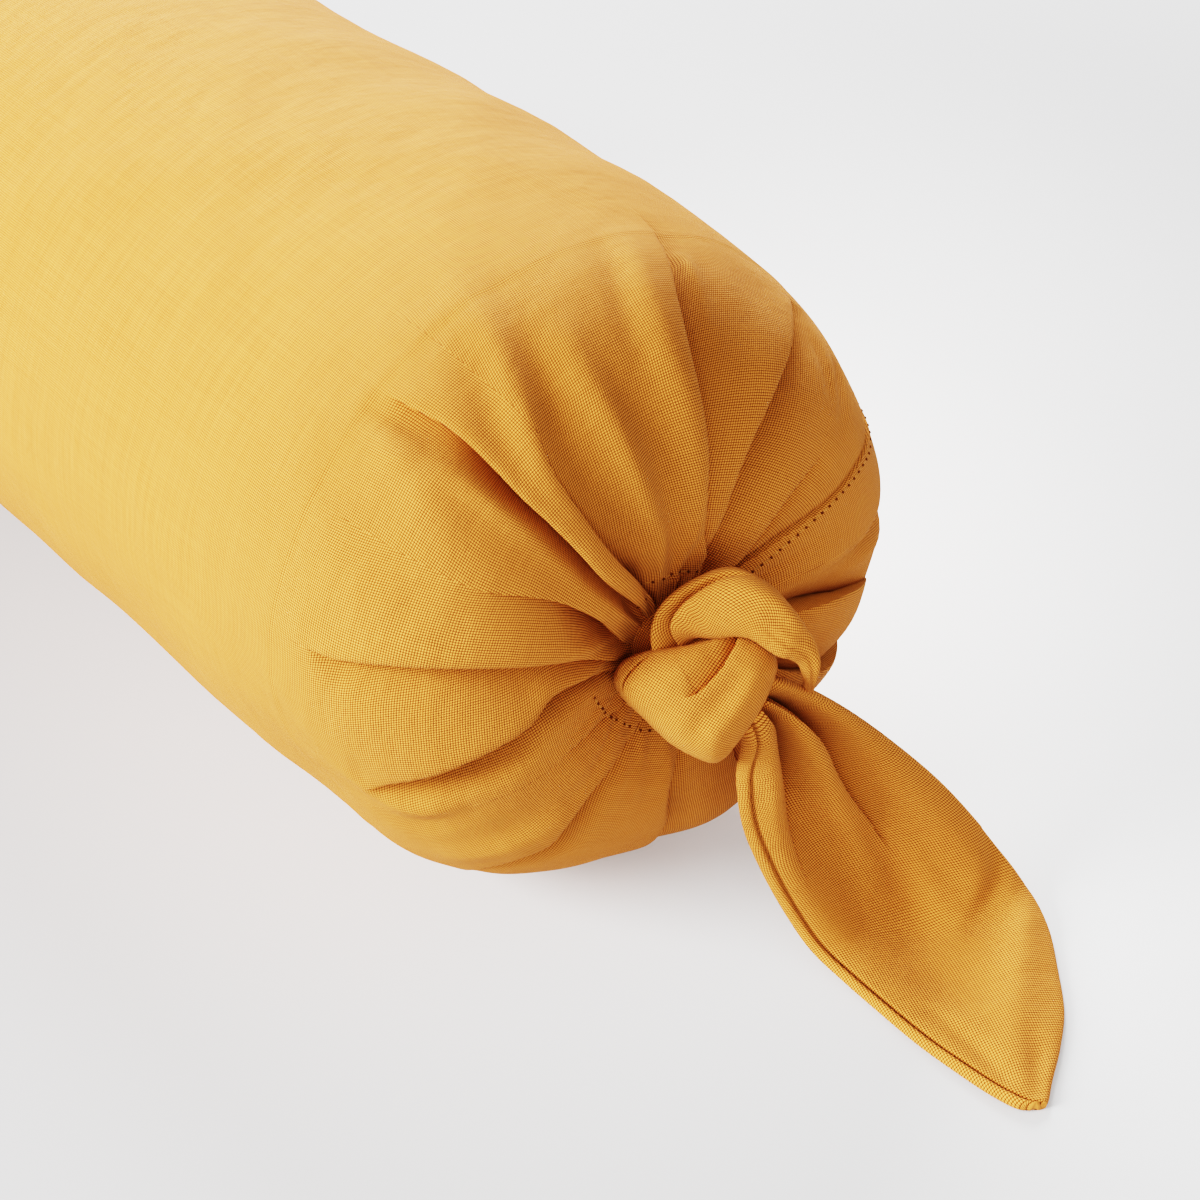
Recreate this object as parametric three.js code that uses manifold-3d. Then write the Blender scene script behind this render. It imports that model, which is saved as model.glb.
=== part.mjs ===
// Bolster cushion with a knotted tie: a filled cover with gathered ends, and one strap knotted on its mouth.
// Units are millimetres, +Z is up and the bolster lies along X. The knotted end faces +X.
// The origin is in the middle of the flat patch that the bolster rests on.
import * as THREE from 'three';
import { mergeVertices } from 'three/addons/utils/BufferGeometryUtils.js';
import Module from 'manifold-3d';

const wasm = await Module();
wasm.setup();

// ---- driving dimensions ----
const BODY_LENGTH = 500;      // between the crowns of the two ends
const BODY_RADIUS = 100;      // half the width of the filled tube
const HEIGHT_SHARE = 0.965;   // height over width: the filling settles a little
const SIT = 6;                // how far the round section would reach below the surface
const SIT_BLEND = 2;          // rounds the edge of the flat patch
const SHOULDER = 52;          // radius of the rounded shoulder at each end
const DRAW_IN = 0.03;          // share of the radius that the gathers take off at the shoulder
const DRAW_IN_LENGTH = 100;   // how fast that fades along the body
const MOUTH_DEPTH = 9;        // how far the gathered mouth lies behind the crown of the end
const MOUTH_RADIUS = 9;       // the closed mouth, under the knot
const MOUTH_SHIFT = { y: -3, z: -3 };  // the gathers pull the mouth a little off the axis
const MOUTH_SHIFT_REACH = 90; // the shift has faded away at this radius
const SURFACE_GAP = 0.4;      // clear gap between the tie and the cushion
const CAP_RADIUS = BODY_RADIUS * (1 - DRAW_IN) - SHOULDER;
const AXIS_HEIGHT = BODY_RADIUS * HEIGHT_SHARE - SIT;
const SHOULDER_LENGTH = SHOULDER * Math.PI / 2;

// The gathers of an end, one row each: a fold whose edge stands up beside a side that lies low.
// side: +1 if the low side lies at larger angles, -1 at smaller ones. An angle is measured from +Y
// towards +Z. The edge runs from mouth_deg past inner_deg and outer_deg, a third and two thirds of
// the way, to rim_deg. reach: how far it runs from the mouth's centre along the cloth.
// depth: of the low side, at its deepest. width: of the low side.
const GATHER_COLUMNS = ['side', 'mouth_deg', 'inner_deg', 'outer_deg', 'rim_deg', 'reach', 'depth', 'width'];
const GATHERS = [
  [1, 38, 36, 28, 23, 96, 1.5, 5],
  [-1, 46, 43, 48, 41, 62, 4, 5],
  [-1, 54, 72, 61, 46, 112, 9, 8],
  [-1, 60, 85, 84, 74, 121, 6.5, 8],
  [-1, 105, 120, 121, 116, 92, 8, 7],
  [1, 120, 129, 127, 128, 118, 12, 5],
  [1, 162, 142, 142, 148, 80, 8, 7],
  [1, 178, 160, 165, 169, 110, 5, 6],
  [1, 187, 173, 189, 196, 98, 13, 6.5],
  [1, 232, 212, 203, 203, 50, 1.5, 4],
  [1, 258, 228, 229, 232, 100, 6, 6],
  [1, 290, 264, 264, 284, 112, 4, 8],
  [1, 308, 293, 291, 297, 98, 4, 7],
  [1, 321, 307, 307, 312, 108, 6, 8],
  [1, 334, 325, 327, 331, 112, 6, 7],
  [1, 346, 353, 347, 341, 104, 8, 7],
];
const GATHER_START = 36;      // a fold has its full depth from this far from the mouth's centre
const GATHER_SHARPNESS = 1.6; // 1 is a knife crease and 2 a round trough
const FAR_END_MIRROR = 45;    // the far end has the same gathers, mirrored about half this angle

// ---- the tie: lengths in the knot's own frame ----
// across, up and out: out is the way that the face of the knot looks.
const KNOT = { x: BODY_LENGTH / 2 + 11, y: -2, z: AXIS_HEIGHT - 1.5, turn_deg: 52, tilt_deg: 35.5 };
const KNOT_CORE = { width: 16, height: 15, depth: 15 };
const BAND_COLUMNS = ['across', 'up', 'out', 'half_width', 'half_thick'];
const UPPER_BAND = [
  [-9, -10, 3, 6, 5],
  [-10, 2, 8, 7, 5],
  [-6, 12, 12, 8, 5.5],
  [3, 16, 13, 9, 6],
  [12, 13, 13, 9, 6],
  [19, 5, 10, 8, 5],
  [21, -4, 3, 6, 4.5],
  [16, -8, -8, 5, 4],
];
const FRONT_BAND = [
  [11, 9, 4, 9, 5],
  [7, 4, 11, 11, 6],
  [1, -4, 14, 14, 7],
  [-7, -10, 12, 17, 7],
  [-12, -14, 4, 16, 6],
  [-10, -12, -8, 12, 5],
];
const NECK = [
  [0, 0, 2, 14, 12],
  [-7, 5, -7, 13, 12],
  [-15, 11, -16, 12, 11],
];
// The tail: its left and right edges, from the knot to the point, in the part's own frame
// with x counted from the crown of the end. ridge: how high its folds stand.
const TAIL_COLUMNS = ['left_x', 'left_y', 'left_z', 'right_x', 'right_y', 'right_z', 'ridge', 'half_thick'];
const TAIL = [
  [16, -2, 82, 15, 11, 92, 3, 4],
  [20, -2.5, 74, 20, 16, 87, 6, 2.6],
  [22.5, -3, 60, 25.5, 29, 72, 8, 2],
  [24, -1.5, 44, 30, 43.5, 57, 7, 1.7],
  [27.5, 2.5, 29, 38.3, 58.8, 38, 5, 1.5],
  [33.5, 6.5, 15.5, 48.9, 70.1, 19, 3, 1.5],
  [42, 9.5, 5.5, 61, 74.5, 6, 1.5, 1.5],
  [54, 11, 2, 74, 70.2, 2.2, 0.8, 1.5],
  [68, 11, 1.5, 86.5, 61, 1.5, 0.5, 1.5],
  [83, 10.8, 1.5, 98.5, 50.8, 1.5, 0, 1.5],
  [97, 12, 1.5, 107.3, 40, 1.5, 0, 1.5],
  [107.8, 13.5, 1.5, 114, 30, 1.5, 0, 1.5],
  [114.5, 15.5, 1.5, 118, 24.5, 1.5, 0, 1.5],
  [117, 17.8, 1.5, 119, 22.6, 1.5, 0, 1.5],
];
const TAIL_FOLDS = 3;
const TAIL_EDGE_POWER = 8;    // how square the two layers meet along the tail's edges

// ---- mesh density ----
const COLUMN_STEP_DEG = 4.8;  // between the columns round the cushion, at most
const EDGE_STEP_DEG = 2;      // from a fold's edge to the first column of its low side
const CAP_RINGS = 6;
const SHOULDER_RINGS = 7;
const BODY_RINGS = 9;
const BAND_SIDES = 12;
const BAND_STEPS = 12;
const CORE_SIDES = 16;
const TAIL_ACROSS = 16;
const TAIL_STEPS = 20;

const cloth = new THREE.MeshStandardMaterial({ color: 0xe3a93f, roughness: 0.9, metalness: 0 });
const tieCloth = new THREE.MeshStandardMaterial({ color: 0xdda23a, roughness: 0.9, metalness: 0 });

const radians = THREE.MathUtils.degToRad;
const smooth = (value, low, high) => THREE.MathUtils.smoothstep(value, low, high);
const nearTurn = (angle) => angle - 2 * Math.PI * Math.round(angle / (2 * Math.PI));

function named(columns, rows) {
  return rows.map((row) => Object.fromEntries(columns.map((name, i) => [name, row[i]])));
}

// Reads a column part of the way through a table, t going from 0 to 1.
function blendRows(rows, t) {
  const index = Math.min(Math.floor(t * (rows.length - 1)), rows.length - 2);
  const part = t * (rows.length - 1) - index;
  return (name) => THREE.MathUtils.lerp(rows[index][name], rows[index + 1][name], part);
}

// A closed geometry from rings of equal length, the first and last rings closed by a fan.
function ringsToGeometry(rings) {
  const around = rings[0].length;
  const points = rings.flat();
  const start = points.length;
  points.push(centreOf(rings[0]), centreOf(rings[rings.length - 1]));
  const faces = [];
  for (let i = 0; i < rings.length - 1; i++) {
    for (let j = 0; j < around; j++) {
      const a = i * around + j;
      const b = i * around + (j + 1) % around;
      faces.push(a, b, b + around, a, b + around, a + around);
    }
  }
  const last = (rings.length - 1) * around;
  for (let j = 0; j < around; j++) {
    const k = (j + 1) % around;
    faces.push(start, k, j, start + 1, last + j, last + k);
  }
  const geometry = new THREE.BufferGeometry();
  geometry.setAttribute('position', new THREE.Float32BufferAttribute(points.flatMap((p) => p.toArray()), 3));
  geometry.setIndex(faces);
  return geometry;
}

function centreOf(ring) {
  const sum = new THREE.Vector3();
  ring.forEach((p) => sum.add(p));
  return sum.divideScalar(ring.length);
}

// ---- the cushion ----
const gathers = named(GATHER_COLUMNS, GATHERS).sort((a, b) => a.rim_deg - b.rim_deg);

// The outline from the mouth outwards: s is the length along the cloth from the mouth's centre.
function outline(s) {
  if (s <= CAP_RADIUS) {
    const share = s / CAP_RADIUS;
    const dish = MOUTH_DEPTH * (1 - share * share) ** 2;
    return { back: dish, radius: s, lean: Math.PI / 2 };
  }
  const arc = (s - CAP_RADIUS) / SHOULDER;
  if (arc <= Math.PI / 2) {
    const lean = Math.PI / 2 - arc;
    return { back: SHOULDER * (1 - Math.sin(lean)), radius: CAP_RADIUS + SHOULDER * Math.cos(lean), lean };
  }
  const along = s - CAP_RADIUS - SHOULDER_LENGTH;
  const fade = Math.exp(-along / DRAW_IN_LENGTH) - Math.exp(-(BODY_LENGTH / 2 - SHOULDER) / DRAW_IN_LENGTH);
  return { back: SHOULDER + along, radius: BODY_RADIUS * (1 - DRAW_IN * fade), lean: 0 };
}

// How far along its path a fold is at a length s from the mouth's centre, from 0 to 1.
function foldShare(fold, s) {
  return THREE.MathUtils.clamp((s - MOUTH_RADIUS) / (fold.reach - MOUTH_RADIUS), 0, 1);
}

// The angle of a fold's edge there.
function edgeAngle(fold, s) {
  const places = [fold.mouth_deg, fold.inner_deg, fold.outer_deg, fold.rim_deg];
  const along = foldShare(fold, s) * (places.length - 1);
  const index = Math.min(Math.floor(along), places.length - 2);
  const at = (i) => places[THREE.MathUtils.clamp(i, 0, places.length - 1)];
  return radians(catmull(at(index - 1), at(index), at(index + 1), at(index + 2), along - index));
}

function catmull(a, b, c, d, t) {
  const square = 2 * a - 5 * b + 4 * c - d;
  const cube = 3 * b - a - 3 * c + d;
  return (2 * b + (c - a) * t + square * t ** 2 + cube * t ** 3) / 2;
}

// How deep the gathers press into the cloth at a place on an end.
function gatherDepth(s, radius, angle) {
  let depth = 0;
  for (const fold of gathers) {
    const low = fold.side * nearTurn(angle - edgeAngle(fold, s)) * radius;
    if (s < fold.reach && low > 0.001) {
      const fade = smooth(s, MOUTH_RADIUS, GATHER_START) * (1 - foldShare(fold, s) ** 4);
      depth = Math.max(depth, fold.depth * fade * Math.exp(-((low / fold.width) ** GATHER_SHARPNESS)));
    }
  }
  return depth;
}

// The columns of the mesh follow the folds' edges. This is where one that starts at a given angle
// of the body lies on the ring at s.
function followEdges(start, s) {
  const turn = 2 * Math.PI;
  const inTurn = THREE.MathUtils.euclideanModulo(start, turn);
  const last = gathers.length - 1;
  const fold = (i) => gathers[(i + last + 1) % (last + 1)];
  const edge = (i, at) => edgeAngle(fold(i), at) + turn * Math.floor(i / (last + 1));
  let index = -1;
  while (index < last && edge(index + 1, Infinity) <= inTurn) index += 1;
  const share = (inTurn - edge(index, Infinity)) / (edge(index + 1, Infinity) - edge(index, Infinity));
  return start - inTurn + THREE.MathUtils.lerp(edge(index, s), edge(index + 1, s), share);
}

// The angles of the columns on the body: one on each fold's edge, one close by on its low side.
function columnAngles() {
  const angles = [];
  gathers.forEach((fold, i) => {
    const next = gathers[(i + 1) % gathers.length];
    const gap = THREE.MathUtils.euclideanModulo(next.rim_deg - fold.rim_deg, 360);
    const steps = Math.max(1, Math.round(gap / COLUMN_STEP_DEG));
    for (let k = 0; k < steps; k++) angles.push(fold.rim_deg + gap * k / steps);
    angles.push(fold.rim_deg + fold.side * EDGE_STEP_DEG);
  });
  return angles.map((a) => radians(THREE.MathUtils.euclideanModulo(a, 360))).sort((a, b) => a - b);
}

function sitOnSurface(z) {
  if (z <= -SIT_BLEND) return 0;
  if (z >= SIT_BLEND) return z;
  return (z + SIT_BLEND) ** 2 / (4 * SIT_BLEND);
}

// A point of the cover on one end: side is +1 at the knotted end and -1 at the far end.
function coverPoint(side, s, start, grow) {
  const place = outline(s);
  const mirrored = (a) => side > 0 ? a : radians(FAR_END_MIRROR) - a;
  const own = followEdges(mirrored(start), s);
  const angle = mirrored(own);
  const press = gatherDepth(s, place.radius, own) - grow;
  const radius = place.radius - press * Math.cos(place.lean);
  const back = place.back + press * Math.sin(place.lean);
  const shift = side * (1 - smooth(place.radius, MOUTH_RADIUS, MOUTH_SHIFT_REACH));
  const y = radius * Math.cos(angle) + MOUTH_SHIFT.y * shift;
  const z = radius * HEIGHT_SHARE * Math.sin(angle) + AXIS_HEIGHT + MOUTH_SHIFT.z * shift;
  return new THREE.Vector3(side * (BODY_LENGTH / 2 - back), y, sitOnSurface(z));
}

function endStations() {
  const stations = [];
  for (let i = 0; i < CAP_RINGS; i++) {
    stations.push(THREE.MathUtils.lerp(MOUTH_RADIUS, CAP_RADIUS, i / CAP_RINGS));
  }
  for (let i = 0; i < SHOULDER_RINGS; i++) {
    stations.push(CAP_RADIUS + SHOULDER_LENGTH * i / SHOULDER_RINGS);
  }
  return stations;
}

function cushionGeometry(grow = 0) {
  const stations = endStations();
  const straight = BODY_LENGTH / 2 - SHOULDER;
  const start = CAP_RADIUS + SHOULDER_LENGTH;
  const halfRings = (BODY_RINGS - 1) / 2;
  for (let i = 0; i <= halfRings; i++) stations.push(start + straight * i / halfRings);
  const columns = columnAngles();
  const ringAt = (side, s) => columns.map((angle) => coverPoint(side, s, angle, grow));
  const near = stations.map((s) => ringAt(1, s)).reverse();
  const far = stations.slice(0, -1).map((s) => ringAt(-1, s));
  return ringsToGeometry([...far, ...near]);
}

// ---- the tie ----
function knotAxes() {
  const turn = radians(KNOT.turn_deg);
  const tilt = radians(KNOT.tilt_deg);
  const across = new THREE.Vector3(Math.cos(turn), Math.sin(turn), 0);
  const out = new THREE.Vector3(
    Math.sin(turn) * Math.cos(tilt), -Math.cos(turn) * Math.cos(tilt), Math.sin(tilt));
  return new THREE.Matrix4().makeBasis(across, new THREE.Vector3().crossVectors(out, across), out)
    .setPosition(KNOT.x, KNOT.y, KNOT.z);
}

// A flat, rounded band laid around the knot's core, its thickness pointing away from the core.
function bandGeometry(rows) {
  const stations = named(BAND_COLUMNS, rows);
  const curve = new THREE.CatmullRomCurve3(stations.map((r) => new THREE.Vector3(r.across, r.up, r.out)));
  const rings = [];
  for (let i = 0; i <= BAND_STEPS; i++) {
    const t = i / BAND_STEPS;
    const point = curve.getPoint(t);
    const along = curve.getTangent(t);
    const blend = blendRows(stations, t);
    const width = new THREE.Vector3().crossVectors(point, along).normalize();
    const thick = new THREE.Vector3().crossVectors(along, width).normalize();
    rings.push(Array.from({ length: BAND_SIDES }, (_, j) => {
      const a = 2 * Math.PI * j / BAND_SIDES;
      return point.clone()
        .addScaledVector(width, blend('half_width') * Math.cos(a))
        .addScaledVector(thick, blend('half_thick') * Math.sin(a));
    }));
  }
  return ringsToGeometry(rings).applyMatrix4(knotAxes());
}

function coreGeometry() {
  return new THREE.SphereGeometry(1, CORE_SIDES, CORE_SIDES / 2)
    .scale(KNOT_CORE.width, KNOT_CORE.height, KNOT_CORE.depth)
    .applyMatrix4(knotAxes());
}

function tailGeometry() {
  const rows = named(TAIL_COLUMNS, TAIL);
  const edge = (side) => new THREE.CatmullRomCurve3(rows.map((r) => new THREE.Vector3(
    BODY_LENGTH / 2 + r[`${side}_x`], r[`${side}_y`], r[`${side}_z`])));
  const left = edge('left');
  const right = edge('right');
  const rings = [];
  for (let i = 0; i <= TAIL_STEPS; i++) {
    const t = i / TAIL_STEPS;
    const a = left.getPoint(t);
    const b = right.getPoint(t);
    const across = b.clone().sub(a).normalize();
    const along = left.getTangent(t).add(right.getTangent(t)).normalize();
    const face = new THREE.Vector3().crossVectors(across, along).normalize().negate();
    const blend = blendRows(rows, t);
    const ridge = blend('ridge');
    const thick = blend('half_thick');
    const middle = (share) => a.clone().lerp(b, share)
      .addScaledVector(face, ridge * (Math.sin(Math.PI * share * TAIL_FOLDS) ** 2 - 0.5));
    const layer = (share, side) => middle(share)
      .addScaledVector(face, side * thick * Math.sqrt(1 - Math.min(1, (2 * share - 1) ** TAIL_EDGE_POWER)));
    const shares = Array.from({ length: TAIL_ACROSS + 1 }, (_, j) => j / TAIL_ACROSS);
    const upper = shares.map((share) => layer(share, 1)).reverse();
    const lower = shares.slice(1, -1).map((share) => layer(share, -1));
    rings.push([...upper, ...lower]);
  }
  rings.flat().forEach((p) => { p.z = Math.max(p.z, 0); });
  return ringsToGeometry(rings);
}

// ---- solids ----
function toManifold(geometry) {
  const bare = geometry.clone();
  bare.deleteAttribute('normal');
  bare.deleteAttribute('uv');
  const merged = mergeVertices(bare);
  const solid = new wasm.Manifold(new wasm.Mesh({
    numProp: 3,
    vertProperties: new Float32Array(merged.attributes.position.array),
    triVerts: new Uint32Array(merged.index.array),
  }));
  return solid;
}

function toGeometry(solid) {
  const mesh = solid.getMesh();
  const geometry = new THREE.BufferGeometry();
  geometry.setAttribute('position', new THREE.Float32BufferAttribute(mesh.vertProperties, 3));
  geometry.setIndex(new THREE.Uint32BufferAttribute(mesh.triVerts, 1));
  geometry.computeVertexNormals();
  return geometry;
}

function tieSolid() {
  const pieces = [coreGeometry(), bandGeometry(UPPER_BAND), bandGeometry(FRONT_BAND), bandGeometry(NECK),
    tailGeometry()];
  const whole = pieces.map(toManifold).reduce((sum, piece) => sum.add(piece));
  return whole.subtract(toManifold(cushionGeometry(SURFACE_GAP)));
}

const bolster = new THREE.Group();

const cushion = new THREE.Mesh(cushionGeometry(), cloth);
cushion.name = 'cushion';
bolster.add(cushion);

const tie = new THREE.Mesh(toGeometry(tieSolid()), tieCloth);
tie.name = 'tie';
bolster.add(tie);

export default bolster;
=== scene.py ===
import math

import bpy
import numpy as np
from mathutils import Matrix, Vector


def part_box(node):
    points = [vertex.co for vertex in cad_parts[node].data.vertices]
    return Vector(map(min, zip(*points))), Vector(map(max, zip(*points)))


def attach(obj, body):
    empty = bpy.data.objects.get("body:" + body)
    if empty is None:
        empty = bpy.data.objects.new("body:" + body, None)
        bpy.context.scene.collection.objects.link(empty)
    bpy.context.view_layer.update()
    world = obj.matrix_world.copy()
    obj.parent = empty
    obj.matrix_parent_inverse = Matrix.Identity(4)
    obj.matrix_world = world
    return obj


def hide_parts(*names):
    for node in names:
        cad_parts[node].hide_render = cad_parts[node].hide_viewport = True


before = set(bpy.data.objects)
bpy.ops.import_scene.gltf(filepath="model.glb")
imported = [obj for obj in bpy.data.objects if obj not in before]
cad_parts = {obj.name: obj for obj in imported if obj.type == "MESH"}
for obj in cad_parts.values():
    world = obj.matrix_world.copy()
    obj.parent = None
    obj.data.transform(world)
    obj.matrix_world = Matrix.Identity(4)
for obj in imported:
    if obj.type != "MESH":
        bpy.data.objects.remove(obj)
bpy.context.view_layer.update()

bl_info = {
    "name": "Bolster cushion with a knotted tie",
    "version": (1, 0, 0),
    "blender": (4, 5, 0),
    "location": "3D View > Sidebar > Bolster",
    "description": "Makes a filled bolster with gathered ends and a self-fabric tie",
    "category": "Add Mesh",
}

# Lengths in the tables and functions are millimetres; meshes are made in metres.
MM = 0.001
COVER_LOW, COVER_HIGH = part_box("cushion")
BODY_LENGTH = round((COVER_HIGH.x - COVER_LOW.x) / MM / 10) * 10
BODY_RADIUS = round((COVER_HIGH.y - COVER_LOW.y) / MM / 2, 1)


def soft(*stations):
    """A fold without an edge: a soft trough, or a soft ridge where its depth is below 0."""
    return 0, 2.0, 0.0, list(stations)


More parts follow.
